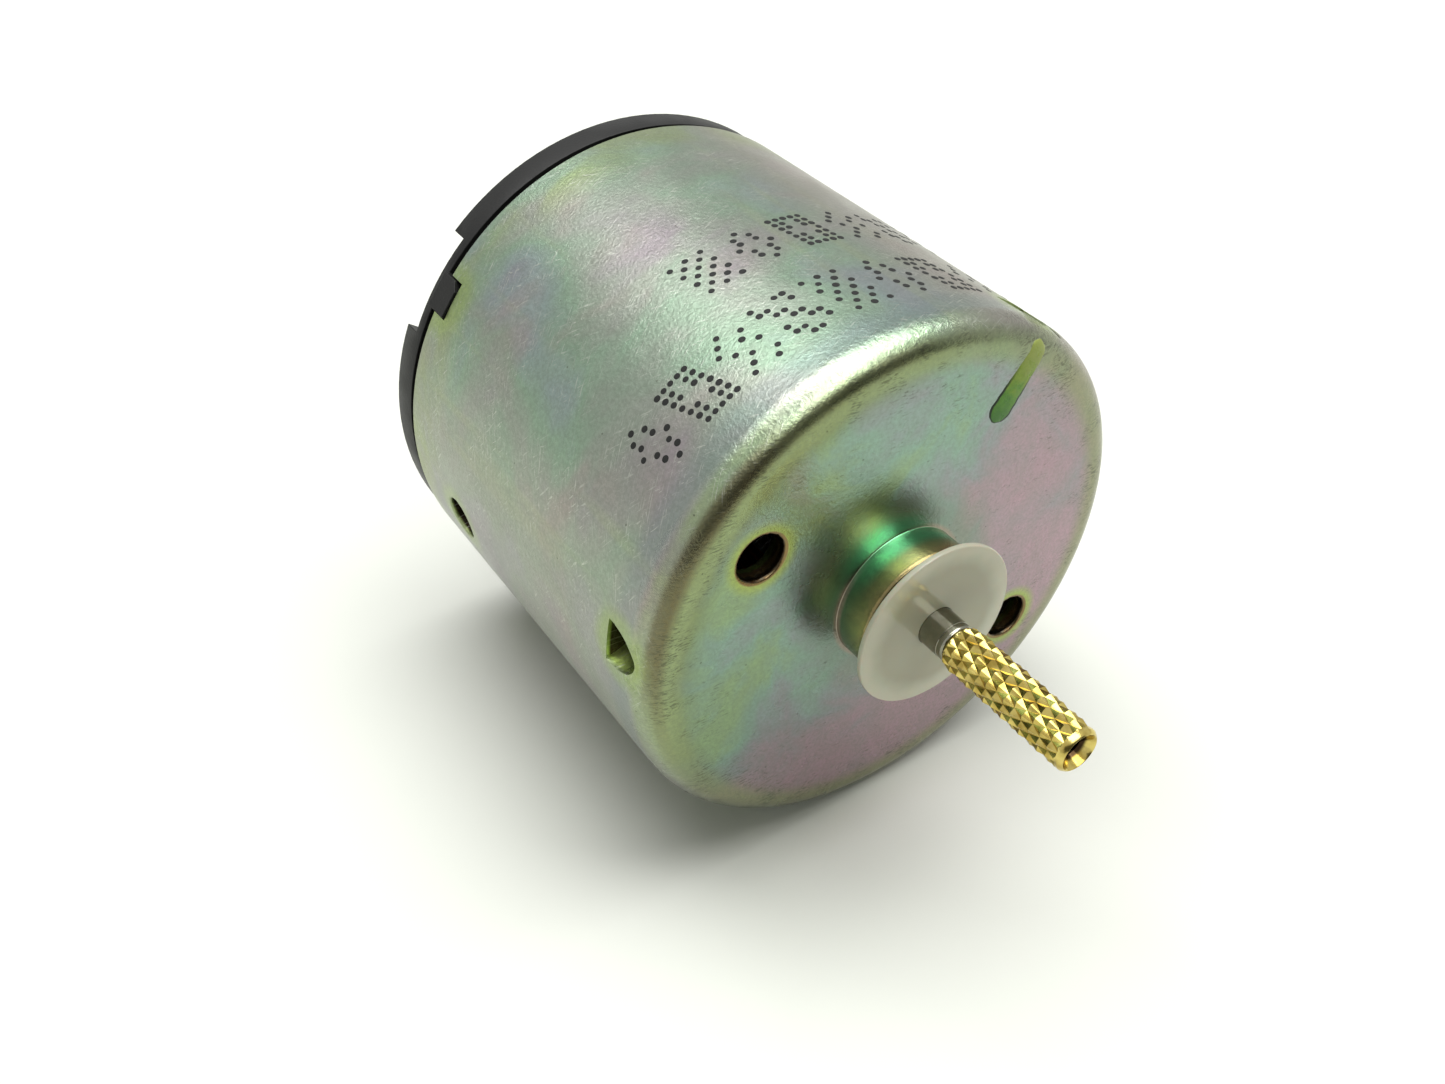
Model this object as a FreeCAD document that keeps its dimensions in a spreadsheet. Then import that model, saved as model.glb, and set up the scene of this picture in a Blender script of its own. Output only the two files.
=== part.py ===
import FreeCAD, Part
import math
import os
import Sketcher

# Round-can permanent magnet DC motor with a knurled brass output sleeve.
# Row frame: +X along the shaft towards the output end, +Z up, the motor lying on its side.
# The origin is the centre of the mounting face, the flat front of the can. Millimetres.
# Names ending in _back are distances behind the mounting face, in _front in front of it.

DRIVING_DIMENSIONS = {
    # can
    "can_radius": 13.85, "can_length": 23.15, "wall": 1.0,
    "front_fillet": 1.4, "inner_fillet": 0.6,
    "boss_radius": 3.54, "boss_front": 2.05, "boss_edge": 0.3,
    "boss_lip": 0.75, "boss_mouth_radius": 1.7,
    "screw_circle_radius": 9.75, "screw_hole_radius": 1.2, "hole_edge": 0.2,
    "rear_hole_back": 18.56, "rear_hole_radius": 1.17,
    "notch_width": 2.05, "notch_depth": 1.07,
    "lance_back": 3.16, "lance_end_back": 0.89, "lance_width": 2.3,
    "tongue_gap": 0.1, "tongue_root": 13.5, "tongue_end": 12.2, "tongue_thickness": 0.8,
    # endcap
    "neck_radius": 13.45, "neck_thickness": 0.55,
    "flange_radius": 13.72, "flange_depth": 2.14, "thin_flange": 1.15,
    "ring_root_radius": 12.2, "ring_gap_width": 5.4, "key_width": 2.6,
    "skirt_reach": 2.5, "skirt_wall": 1.2, "plate_thickness": 1.6,
    "hub_radius": 3.4, "hub_reach": 1.6, "hub_lip": 0.5, "hub_mouth_radius": 1.4,
    "collar_reach": 0.8,
    "tab_width": 1.9, "tab_reach": 0.98, "tab_root": 12.4, "tab_proud": 0.1, "tab_corner": 0.45,
    "vent_height": 7.6, "vent_left": 3.4, "vent_right": 1.6, "vent_radius": 0.9,
    "post_height": 1.2, "post_reach": 3.0, "post_margin": 0.4,
    # bearings, shaft and washers
    "shaft_radius": 1.0, "running_gap": 0.03, "fit_gap": 0.02, "end_play": 0.12,
    "front_bearing_radius": 2.68, "front_bearing_length": 2.8,
    "rear_bearing_radius": 2.3, "rear_bearing_length": 2.7,
    "shaft_back": 26.7, "shaft_front": 4.35, "shaft_chamfer": 0.2,
    "spigot_radius": 0.6, "spigot_front": 8.95,
    "thrust_thickness": 0.4, "spacer_radius": 1.9,
    "washer_radius": 4.34, "washer_front": 2.8, "washer_thickness": 0.3,
    # knurled sleeve
    "sleeve_radius": 1.165, "sleeve_start_front": 4.4, "sleeve_front": 11.95,
    "sleeve_chamfer": 0.18, "sink_radius": 0.93, "sink_depth": 0.6,
    # rotor
    "core_radius": 9.2, "core_back": 5.05, "core_length": 10.4, "core_hub_radius": 3.0,
    "pole_width": 3.6, "shoe_root": 7.7, "insulator": 0.5, "insulator_inset": 0.3,
    "coil_root": 3.3, "coil_depth": 3.0, "coil_side": 2.1, "coil_end": 2.0, "coil_corner": 1.6,
    # commutator
    "commutator_back": 18.2, "commutator_length": 4.3, "commutator_hub_radius": 2.3,
    "nose_radius": 1.8, "segment_radius": 3.0, "segment_margin": 0.3,
    "riser_radius": 4.2, "riser_width": 1.6, "riser_thickness": 0.4,
    "varistor_radius": 5.0, "varistor_gap": 0.15, "varistor_thickness": 0.8,
    # magnets, clips, brushes and terminals
    "magnet_inner": 9.7, "magnet_gap": 0.03, "magnet_back": 3.1, "magnet_length": 14.1,
    "clip_thickness": 0.5, "clip_foot": 10.4,
    "brush_gap": 0.08, "brush_length": 1.82, "brush_width": 2.2, "brush_inset": 0.1,
    "arm_back": 20.3, "arm_height": 1.8, "arm_thickness": 0.25, "arm_tail": 1.6,
    "arm_lip": 0.7,
    "terminal_near": 6.8, "terminal_width": 2.8, "terminal_thickness": 0.5,
    "terminal_reach": 3.7, "terminal_hole_radius": 0.6, "terminal_hole_inset": 1.3,
}

# Angles in degrees, from +Y towards +Z. SCREW_ANGLE turns the whole stator, so that its own
# Y axis passes through the screw holes; the other stator angles are counted from that axis.
SCREW_ANGLE = 143.5
MAGNET_ANGLE = 60.0
MAGNET_SPAN = 128.0
LANCE_OFFSET = 31.0
REAR_HOLE_ANGLE = 45.0
KEY_ANGLE = 85.0
BRUSH_ANGLE = 60.0
CLIP_SPAN = 51.0
CLIP_FOOT_SPAN = 3.0

# The rotor's first pole points up at rest.
POLES = 3
FIRST_POLE_ANGLE = 90.0
POLE_SPACING = 360.0 / POLES
SHOE_SPAN = 107.5
SEGMENT_SPAN = 112.0

SMALLEST_CUT = 1e-3
MATCH = 1e-4
AXIS_X = FreeCAD.Vector(1, 0, 0)
AXIS_Y = FreeCAD.Vector(0, 1, 0)
AXIS_Z = FreeCAD.Vector(0, 0, 1)

doc = FreeCAD.newDocument("motor")
sheet = doc.addObject("Spreadsheet::Sheet", "size")
for row, (alias, number) in enumerate(DRIVING_DIMENSIONS.items(), start=1):
    sheet.set(f"A{row}", alias.replace("_", " "))
    sheet.set(f"B{row}", str(number))
    sheet.setAlias(f"B{row}", alias)
doc.recompute()

subparts = []


# ---------------------------------------------------------------- sizes and places

def amount(text):
    """Millimetres in a sum of sheet names, such as 'can_radius - wall' or 'pole_width/2'."""
    total, sign = 0.0, 1.0
    for word in text.split():
        if word in "+-":
            sign = 1.0 if word == "+" else -1.0
            continue
        alias, _, divisor = word.partition("/")
        total += sign * float(sheet.get(alias)) / float(divisor or 1)
        sign = 1.0
    return total


def bound(text):
    """The same sum as an expression on the sheet."""
    return " ".join(word if word in "+-" else "size." + word for word in text.split())


def add_finished(piece, label, angle=0.0):
    """Names a finished sub-part and turns it to its place about the shaft axis."""
    piece.Label = label
    place = FreeCAD.Placement(FreeCAD.Vector(), FreeCAD.Rotation(AXIS_X, angle))
    piece.Placement = place.multiply(piece.Placement)
    subparts.append(piece)


# ---------------------------------------------------------------- sketches

def attach(body, name, role, offset):
    sketch = body.newObject("Sketcher::SketchObject", name)
    plane = [item for item in body.Origin.OriginFeatures if item.Role == role][0]
    sketch.AttachmentSupport = [(plane, "")]
    sketch.MapMode = "FlatFace"
    sketch.AttachmentOffset = offset
    return sketch


def lengthwise_sketch(body, name, angle=90.0, height=""):
    """A sketch along the shaft axis whose normal points outward at 'angle', 'height' off the axis.

    Across the sketch is +X, and up the sketch is towards smaller angles.
    """
    turn = FreeCAD.Rotation(AXIS_X, angle - 90.0)
    lift = turn.multVec(FreeCAD.Vector(0, 0, amount(height)))
    return attach(body, name, "XY_Plane", FreeCAD.Placement(lift, turn))


def crosswise_sketch(body, name, back, angle=0.0):
    """A sketch square to the shaft, 'back' behind the mounting face, with +Y turned by 'angle'."""
    lift = FreeCAD.Vector(0, 0, -amount(back))
    turn = FreeCAD.Rotation(AXIS_Z, angle)
    return attach(body, name, "YZ_Plane", FreeCAD.Placement(lift, turn))


def hold(sketch, kind, geometry, end, text):
    """Fixes one coordinate of a sketch point to a sum of sheet names; '' puts it on the axis."""
    if text == "":
        axis = -2 if kind == "DistanceX" else -1
        sketch.addConstraint(Sketcher.Constraint("PointOnObject", geometry, end, axis))
        return
    constraint = Sketcher.Constraint(kind, -1, 1, geometry, end, amount(text))
    number = sketch.addConstraint(constraint)
    sketch.setExpression(f"Constraints[{number}]", bound(text))


def hold_radius(sketch, geometry, text):
    number = sketch.addConstraint(Sketcher.Constraint("Radius", geometry, amount(text)))
    sketch.setExpression(f"Constraints[{number}]", bound(text))


def draw_outline(sketch, corners):
    """A closed outline of straight lines; each corner is (across, up)."""
    points = [FreeCAD.Vector(amount(across), amount(up), 0) for across, up in corners]
    first = sketch.GeometryCount
    count = len(corners)
    for index in range(count):
        sketch.addGeometry(Part.LineSegment(points[index], points[(index + 1) % count]))
    for index, (across, up) in enumerate(corners):
        before = first + (index - 1) % count
        sketch.addConstraint(Sketcher.Constraint("Coincident", before, 2, first + index, 1))
        hold(sketch, "DistanceX", first + index, 1, across)
        hold(sketch, "DistanceY", first + index, 1, up)


def draw_rectangle(sketch, left, right, low, high):
    draw_outline(sketch, [(left, low), (right, low), (right, high), (left, high)])


def draw_circle(sketch, across, up, radius):
    centre = FreeCAD.Vector(amount(across), amount(up), 0)
    circle = sketch.addGeometry(Part.Circle(centre, AXIS_Z, amount(radius)))
    hold_radius(sketch, circle, radius)
    hold(sketch, "DistanceX", circle, 3, across)
    hold(sketch, "DistanceY", circle, 3, up)


def draw_slot(sketch, left, right, up, radius):
    """A round-ended slot between two arc centres at one height."""
    size, level = amount(radius), amount(up)
    ends = []
    for across, start in ((left, math.pi / 2), (right, -math.pi / 2)):
        circle = Part.Circle(FreeCAD.Vector(amount(across), level, 0), AXIS_Z, size)
        ends.append(sketch.addGeometry(Part.ArcOfCircle(circle, start, start + math.pi)))
        hold_radius(sketch, ends[-1], radius)
        hold(sketch, "DistanceX", ends[-1], 3, across)
        hold(sketch, "DistanceY", ends[-1], 3, up)
    for side, near, far in ((-1, (ends[0], 2), (ends[1], 1)), (1, (ends[0], 1), (ends[1], 2))):
        start = FreeCAD.Vector(amount(left), level + side * size, 0)
        end = FreeCAD.Vector(amount(right), level + side * size, 0)
        line = sketch.addGeometry(Part.LineSegment(start, end))
        sketch.addConstraint(Sketcher.Constraint("Tangent", line, 1, *near))
        sketch.addConstraint(Sketcher.Constraint("Tangent", line, 2, *far))


# ---------------------------------------------------------------- PartDesign features

def revolve(label, corners):
    """A body turned about the shaft axis from an outline of (along X, radius) corners."""
    body = doc.addObject("PartDesign::Body", label)
    sketch = lengthwise_sketch(body, label + "_outline")
    draw_outline(sketch, corners)
    feature = body.newObject("PartDesign::Revolution", label + "_turning")
    feature.Profile = sketch
    feature.ReferenceAxis = (sketch, ["H_Axis"])
    feature.Angle = 360
    doc.recompute()
    return body


def pad(body, sketch, length, symmetric=False):
    """Adds the sketch's shape along its normal."""
    feature = body.newObject("PartDesign::Pad", sketch.Name + "_pad")
    feature.Profile = sketch
    feature.setExpression("Length", bound(length))
    feature.SideType = "Symmetric" if symmetric else "One side"
    doc.recompute()


def cut(body, sketch, length):
    """Removes the sketch's shape along its normal, and makes sure that something went."""
    before = body.Shape.Volume
    feature = body.newObject("PartDesign::Pocket", sketch.Name + "_cut")
    feature.Profile = sketch
    feature.setExpression("Length", bound(length))
    feature.Reversed = True
    doc.recompute()
    if body.Shape.Volume > before - SMALLEST_CUT:
        raise RuntimeError(sketch.Name + " cuts nothing")


def round_edges(body, name, is_wanted, size):
    """Rounds the edges for which is_wanted(edge) is true."""
    edges = enumerate(body.Shape.Edges, start=1)
    chosen = [f"Edge{number}" for number, edge in edges if is_wanted(edge)]
    base = body.Tip
    feature = body.newObject("PartDesign::Fillet", name)
    feature.Base = (base, chosen)
    feature.setExpression("Radius", bound(size))
    doc.recompute()


def circle_at(along, radius, off_axis=""):
    """A test for circular edges square to the shaft, of one radius, at one X, at one offset."""
    def is_wanted(edge):
        if not isinstance(edge.Curve, Part.Circle):
            return False
        centre = edge.Curve.Center
        errors = (
            centre.x - amount(along),
            math.hypot(centre.y, centre.z) - amount(off_axis),
            edge.Curve.Radius - amount(radius),
        )
        return max(abs(error) for error in errors) < MATCH
    return is_wanted


# ---------------------------------------------------------------- Part solids

def cylinder(radius, back, length, middle=0.0, span=360.0):
    """A cylinder on the shaft axis, or a wedge of one, that starts at 'back' and runs rearwards."""
    solid = doc.addObject("Part::Cylinder", "cylinder")
    solid.setExpression("Radius", bound(radius))
    solid.setExpression("Height", bound(length))
    solid.Angle = span
    rearwards = FreeCAD.Rotation(AXIS_Y, -90)
    turn = FreeCAD.Rotation(AXIS_X, middle - 90.0 + span / 2.0)
    solid.Placement = FreeCAD.Placement(FreeCAD.Vector(), turn.multiply(rearwards))
    solid.setExpression(".Placement.Base.x", "-(" + bound(back) + ")")
    doc.recompute()
    return solid


def block(left, low, back, width, height, length):
    """A box from (left, low) towards +Y and +Z, that starts at 'back' and runs rearwards."""
    solid = doc.addObject("Part::Box", "block")
    solid.setExpression("Length", bound(length))
    solid.setExpression("Width", bound(width))
    solid.setExpression("Height", bound(height))
    solid.setExpression(".Placement.Base.x", "-(" + bound(back) + ") - (" + bound(length) + ")")
    solid.setExpression(".Placement.Base.y", bound(left))
    solid.setExpression(".Placement.Base.z", bound(low))
    doc.recompute()
    return solid


def subtract(base, tool):
    result = doc.addObject("Part::Cut", "cut")
    result.Base = base
    result.Tool = tool
    doc.recompute()
    return result


def join(pieces):
    result = doc.addObject("Part::MultiFuse", "join")
    result.Shapes = pieces
    result.Refine = True
    doc.recompute()
    return result


def tube(inner, outer, back, length, middle=0.0, span=360.0):
    """A ring on the shaft axis, or a sector of one."""
    outside = cylinder(outer, back, length, middle, span)
    return subtract(outside, cylinder(inner, back, length, middle, span))


# ---------------------------------------------------------------- can

def make_can():
    """Drawn steel cup with a pilot boss, screw holes, lances, rear holes and rim notches."""
    body = revolve("can", [
        ("- can_length", "can_radius - wall"),
        ("- can_length", "can_radius"),
        ("", "can_radius"),
        ("", "boss_radius"),
        ("boss_front", "boss_radius"),
        ("boss_front", "boss_mouth_radius"),
        ("boss_front - boss_lip", "boss_mouth_radius"),
        ("boss_front - boss_lip", "front_bearing_radius + fit_gap"),
        ("- wall", "front_bearing_radius + fit_gap"),
        ("- wall", "can_radius - wall"),
    ])
    for index in range(2):
        sketch = crosswise_sketch(body, f"screw_hole_{index}", "wall", 180 * index)
        draw_circle(sketch, "screw_circle_radius", "", "screw_hole_radius")
        cut(body, sketch, "wall + boss_edge")
    screw_edge = circle_at("", "screw_hole_radius", "screw_circle_radius")
    round_edges(body, "hole_rounding", screw_edge, "hole_edge")
    round_edges(body, "front_rounding", circle_at("", "can_radius"), "front_fillet")
    round_edges(body, "inner_rounding", circle_at("- wall", "can_radius - wall"), "inner_fillet")
    round_edges(body, "boss_rounding", circle_at("boss_front", "boss_radius"), "boss_edge")
    for index in range(2):
        sketch = lengthwise_sketch(body, f"rim_notch_{index}", 180 * index)
        draw_rectangle(sketch, "- can_length - wall", "- can_length + notch_depth",
                       "- notch_width/2", "notch_width/2")
        cut(body, sketch, "can_radius + wall")
    for index in range(2):
        sketch = lengthwise_sketch(body, f"rear_hole_{index}", REAR_HOLE_ANGLE + 180 * index)
        draw_circle(sketch, "- rear_hole_back", "", "rear_hole_radius")
        cut(body, sketch, "can_radius + wall")
    for magnet in range(2):
        for side in (-1, 1):
            angle = MAGNET_ANGLE + 180 * magnet + side * LANCE_OFFSET
            add_lance(body, f"lance_{magnet}_{'low' if side < 0 else 'high'}", angle)
    add_finished(body, "can", SCREW_ANGLE)


def add_lance(body, name, angle):
    """A window in the can's wall, round towards the front, with its tongue bent inwards."""
    window = lengthwise_sketch(body, name + "_window", angle)
    draw_rectangle(window, "- lance_back", "- lance_end_back - lance_width/2",
                   "- lance_width/2", "lance_width/2")
    cut(body, window, "can_radius + wall")
    end = lengthwise_sketch(body, name + "_end", angle)
    draw_circle(end, "- lance_end_back - lance_width/2", "", "lance_width/2")
    cut(body, end, "can_radius + wall")
    tongue = lengthwise_sketch(body, name + "_tongue", angle + 90)
    draw_outline(tongue, [
        ("- lance_end_back + tongue_gap", "tongue_root"),
        ("- lance_back + tongue_gap", "tongue_end"),
        ("- lance_back + tongue_gap", "tongue_end - tongue_thickness"),
        ("- lance_end_back + tongue_gap", "tongue_root - tongue_thickness"),
    ])
    pad(body, tongue, "lance_width - tongue_gap - tongue_gap", symmetric=True)


# ---------------------------------------------------------------- endcap

def make_endcap():
    """Moulded plastic cover: skirt inside the can, stepped flange, ring, tabs and bearing hub."""
    plate_rear = "- can_length - flange_depth"
    plate_inside = plate_rear + " + plate_thickness"
    body = revolve("endcap", [
        ("- can_length + skirt_reach", "can_radius - wall - fit_gap"),
        ("- can_length", "can_radius - wall - fit_gap"),
        ("- can_length", "neck_radius"),
        ("- can_length - neck_thickness", "neck_radius"),
        ("- can_length - neck_thickness", "flange_radius"),
        (plate_rear, "flange_radius"),
        (plate_rear, "hub_radius"),
        (plate_rear + " - hub_reach", "hub_radius"),
        (plate_rear + " - hub_reach", "hub_mouth_radius"),
        (plate_rear + " - hub_reach + hub_lip", "hub_mouth_radius"),
        (plate_rear + " - hub_reach + hub_lip", "rear_bearing_radius + fit_gap"),
        (plate_inside + " + collar_reach", "rear_bearing_radius + fit_gap"),
        (plate_inside + " + collar_reach", "hub_radius"),
        (plate_inside, "hub_radius"),
        (plate_inside, "can_radius - wall - skirt_wall"),
        ("- can_length + skirt_reach", "can_radius - wall - skirt_wall"),
    ])
    for index in range(2):
        key = crosswise_sketch(body, f"key_slot_{index}", "can_length + flange_depth",
                               KEY_ANGLE + 180 * index)
        draw_rectangle(key, "ring_root_radius", "can_radius + wall", "- key_width/2", "key_width/2")
        cut(body, key, "flange_depth")
        gap = crosswise_sketch(body, f"ring_gap_{index}", "can_length + flange_depth", 180 * index)
        draw_rectangle(gap, "ring_root_radius", "can_radius + wall",
                       "- ring_gap_width/2", "ring_gap_width/2")
        cut(body, gap, "flange_depth - thin_flange")
        tab = lengthwise_sketch(body, f"tab_{index}", 180 * index, "tab_root")
        draw_outline(tab, [
            ("- can_length - neck_thickness", "- tab_width/2"),
            ("- can_length + tab_reach", "- tab_width/2"),
            ("- can_length + tab_reach", "tab_width/2 - tab_corner"),
            ("- can_length + tab_reach - tab_corner", "tab_width/2"),
            ("- can_length - neck_thickness", "tab_width/2"),
        ])
        pad(body, tab, "can_radius + tab_proud - tab_root")
    for index in range(2):
        add_brush_holder(body, f"holder_{index}", BRUSH_ANGLE + 180 * index)
    add_finished(body, "endcap", SCREW_ANGLE)


# Heights off the shaft axis of one brush's parts, outwards from the commutator.
BRUSH_TOP = "segment_radius + brush_gap + brush_length"
ARM_TOP = BRUSH_TOP + " + arm_thickness"
TERMINAL_TOP = ARM_TOP + " + terminal_thickness"


def add_brush_holder(body, name, angle):
    """Two posts that grip a brush arm and its terminal, the terminal's slot and a vent."""
    plate_back = "can_length + flange_depth - plate_thickness"
    left = "terminal_near - post_margin"
    right = "terminal_near + terminal_width + post_margin"
    outer = crosswise_sketch(body, name + "_outer_post", plate_back, angle)
    draw_rectangle(outer, left, right, TERMINAL_TOP + " + fit_gap", TERMINAL_TOP + " + post_height")
    pad(body, outer, "post_reach")
    inner = crosswise_sketch(body, name + "_inner_post", plate_back, angle)
    draw_rectangle(inner, left, right, BRUSH_TOP + " - post_height", BRUSH_TOP + " - fit_gap")
    pad(body, inner, "post_reach")
    slot = crosswise_sketch(body, name + "_slot", "can_length + flange_depth", angle)
    draw_rectangle(slot, "terminal_near - fit_gap", "terminal_near + terminal_width + fit_gap",
                   ARM_TOP + " - fit_gap", TERMINAL_TOP + " + fit_gap")
    cut(body, slot, "plate_thickness")
    vent = crosswise_sketch(body, name + "_vent", "can_length + flange_depth", angle)
    draw_slot(vent, "- vent_left", "vent_right", "vent_height", "vent_radius")
    cut(body, vent, "plate_thickness")


# ---------------------------------------------------------------- stator's inner parts

def make_bearings():
    bore = "shaft_radius + running_gap"
    front = tube(bore, "front_bearing_radius", "boss_lip - boss_front", "front_bearing_length")
    add_finished(front, "front_bearing")
    rear_back = "can_length + flange_depth + hub_reach - hub_lip - rear_bearing_length"
    rear = tube(bore, "rear_bearing_radius", rear_back, "rear_bearing_length")
    add_finished(rear, "rear_bearing")


def make_magnets_and_clips():
    """Two arc magnets, and in each gap between them a spring clip that spreads them apart."""
    inside = "can_radius - wall - magnet_gap"
    for index in range(2):
        middle = MAGNET_ANGLE + 180 * index
        magnet = tube("magnet_inner", inside, "magnet_back", "magnet_length", middle, MAGNET_SPAN)
        add_finished(magnet, f"magnet_{index + 1}", SCREW_ANGLE)
        middle += 90
        leaf = tube(inside + " - clip_thickness", inside, "magnet_back", "magnet_length",
                    middle, CLIP_SPAN)
        pieces = [leaf]
        for side in (-1, 1):
            foot_middle = middle + side * (CLIP_SPAN - CLIP_FOOT_SPAN) / 2
            pieces.append(tube("clip_foot", inside, "magnet_back", "magnet_length",
                               foot_middle, CLIP_FOOT_SPAN))
        add_finished(join(pieces), f"magnet_clip_{index + 1}", SCREW_ANGLE)


def make_brush_gear():
    """Two leaf-spring arms, the carbon brushes on them and the terminals behind them."""
    for index in range(2):
        angle = SCREW_ANGLE + BRUSH_ANGLE + 180 * index
        carbon = block("- brush_width/2", "segment_radius - segment_margin", "arm_back + brush_inset",
                       "brush_width", "brush_length + brush_gap + segment_margin",
                       "arm_height - brush_inset - brush_inset")
        hollow = cylinder("segment_radius + brush_gap", "arm_back", "arm_height")
        add_finished(subtract(carbon, hollow), f"brush_{index + 1}", angle)
        leaf = block("- arm_tail", BRUSH_TOP, "arm_back",
                     "arm_tail + terminal_near + terminal_width", "arm_thickness", "arm_height")
        lip = block("- arm_tail", BRUSH_TOP, "arm_back", "arm_thickness", "arm_lip", "arm_height")
        add_finished(join([leaf, lip]), f"brush_arm_{index + 1}", angle)
        add_finished(make_terminal(f"terminal_{index + 1}"), f"terminal_{index + 1}", angle)


def make_terminal(name):
    """A flat solder tab with a hole near its chamfered end."""
    body = doc.addObject("PartDesign::Body", name)
    sketch = lengthwise_sketch(body, name + "_outline", 90.0, ARM_TOP)
    end = "- can_length - flange_depth - terminal_reach"
    near, far = "terminal_near", "terminal_near + terminal_width"
    draw_outline(sketch, [
        ("- arm_back", near),
        ("- arm_back", far),
        (end + " + terminal_hole_radius", far),
        (end, far + " - terminal_hole_radius"),
        (end, near + " + terminal_hole_radius"),
        (end + " + terminal_hole_radius", near),
    ])
    draw_circle(sketch, end + " + terminal_hole_inset", near + " + terminal_width/2",
                "terminal_hole_radius")
    pad(body, sketch, "terminal_thickness")
    return body


# ---------------------------------------------------------------- rotor

# The commutator's nose ends where the rear thrust washer and the end play begin.
NOSE_END_BACK = ("can_length + flange_depth + hub_reach - hub_lip - rear_bearing_length"
                 " - end_play - thrust_thickness")


def make_shaft():
    body = revolve("shaft", [
        ("- shaft_back", ""),
        ("- shaft_back", "shaft_radius - shaft_chamfer"),
        ("- shaft_back + shaft_chamfer", "shaft_radius"),
        ("shaft_front - shaft_chamfer", "shaft_radius"),
        ("shaft_front", "shaft_radius - shaft_chamfer"),
        ("shaft_front", "spigot_radius"),
        ("spigot_front", "spigot_radius"),
        ("spigot_front", ""),
    ])
    add_finished(body, "shaft")


def make_knurled_sleeve():
    """Brass sleeve at the knurl's outer diameter, open and countersunk at its tip."""
    bore = "spigot_radius + fit_gap"
    body = revolve("knurled_sleeve", [
        ("sleeve_start_front", bore),
        ("sleeve_start_front", "sleeve_radius - sleeve_chamfer"),
        ("sleeve_start_front + sleeve_chamfer", "sleeve_radius"),
        ("sleeve_front - sleeve_chamfer", "sleeve_radius"),
        ("sleeve_front", "sleeve_radius - sleeve_chamfer"),
        ("sleeve_front", "sink_radius"),
        ("sleeve_front - sink_depth", bore),
    ])
    add_finished(body, "knurled_sleeve")


def make_washers():
    """The disc in front of the boss, and the thrust washers and tube on the shaft inside."""
    bore = "shaft_radius + fit_gap"
    front = tube(bore, "washer_radius", "- washer_front", "washer_thickness")
    add_finished(front, "front_washer")
    thrust_back = "boss_lip + front_bearing_length - boss_front + end_play"
    thrust = tube(bore, "spacer_radius", thrust_back, "thrust_thickness")
    add_finished(thrust, "front_thrust_washer")
    spacer_back = thrust_back + " + thrust_thickness"
    spacer_length = ("core_back - insulator - boss_lip - front_bearing_length + boss_front"
                     " - end_play - thrust_thickness")
    add_finished(tube(bore, "spacer_radius", spacer_back, spacer_length), "front_spacer")
    rear = tube(bore, "nose_radius", NOSE_END_BACK, "thrust_thickness")
    add_finished(rear, "rear_thrust_washer")


def make_lamination(back, length, inset):
    """The three-pole outline, drawn in from its full radius by 'inset'."""
    pieces = [cylinder("core_hub_radius" + inset, back, length)]
    for pole in range(POLES):
        neck = block("- pole_width/2", "core_hub_radius/2", back, "pole_width",
                     "shoe_root + insulator - core_hub_radius/2", length)
        shoe = tube("shoe_root", "core_radius" + inset, back, length, FIRST_POLE_ANGLE, SHOE_SPAN)
        pole_piece = join([neck, shoe])
        turn = FreeCAD.Rotation(AXIS_X, pole * POLE_SPACING)
        pole_piece.Placement = FreeCAD.Placement(FreeCAD.Vector(), turn)
        pieces.append(pole_piece)
    return subtract(join(pieces), cylinder("shaft_radius + fit_gap", back, length))


def make_core():
    add_finished(make_lamination("core_back", "core_length", ""), "rotor_core")
    front = make_lamination("core_back - insulator", "insulator", " - insulator_inset")
    add_finished(front, "front_insulator")
    rear = make_lamination("core_back + core_length", "insulator", " - insulator_inset")
    add_finished(rear, "rear_insulator")


def make_coils():
    """Three coils, each wound round one pole's neck, between hub and shoe."""
    front = "- core_back + insulator"
    rear = "- core_back - core_length - insulator"
    side = "pole_width/2 + fit_gap"
    for index in range(POLES):
        name = f"coil_{index + 1}"
        body = doc.addObject("PartDesign::Body", name)
        outside = lengthwise_sketch(body, name + "_outside", 90.0, "coil_root")
        draw_rectangle(outside, rear + " - coil_end", front + " + coil_end",
                       "- pole_width/2 - coil_side", "pole_width/2 + coil_side")
        pad(body, outside, "coil_depth")
        corner = amount("pole_width/2 + coil_side")
        round_edges(body, name + "_corners", lambda edge: is_corner_edge(edge, corner), "coil_corner")
        inside = lengthwise_sketch(body, name + "_inside", 90.0, "coil_root")
        draw_rectangle(inside, rear + " - fit_gap", front + " + fit_gap", "- " + side.replace("+", "-"),
                       side)
        cut(body, inside, "coil_depth")
        add_finished(body, name, index * POLE_SPACING)


def is_corner_edge(edge, corner):
    """True for a straight edge parallel to Z at the coil's outer width."""
    start, end = edge.Vertexes[0].Point, edge.Vertexes[-1].Point
    upright = math.hypot(end.x - start.x, end.y - start.y) < MATCH
    return upright and abs(abs(start.y) - corner) < MATCH


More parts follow.
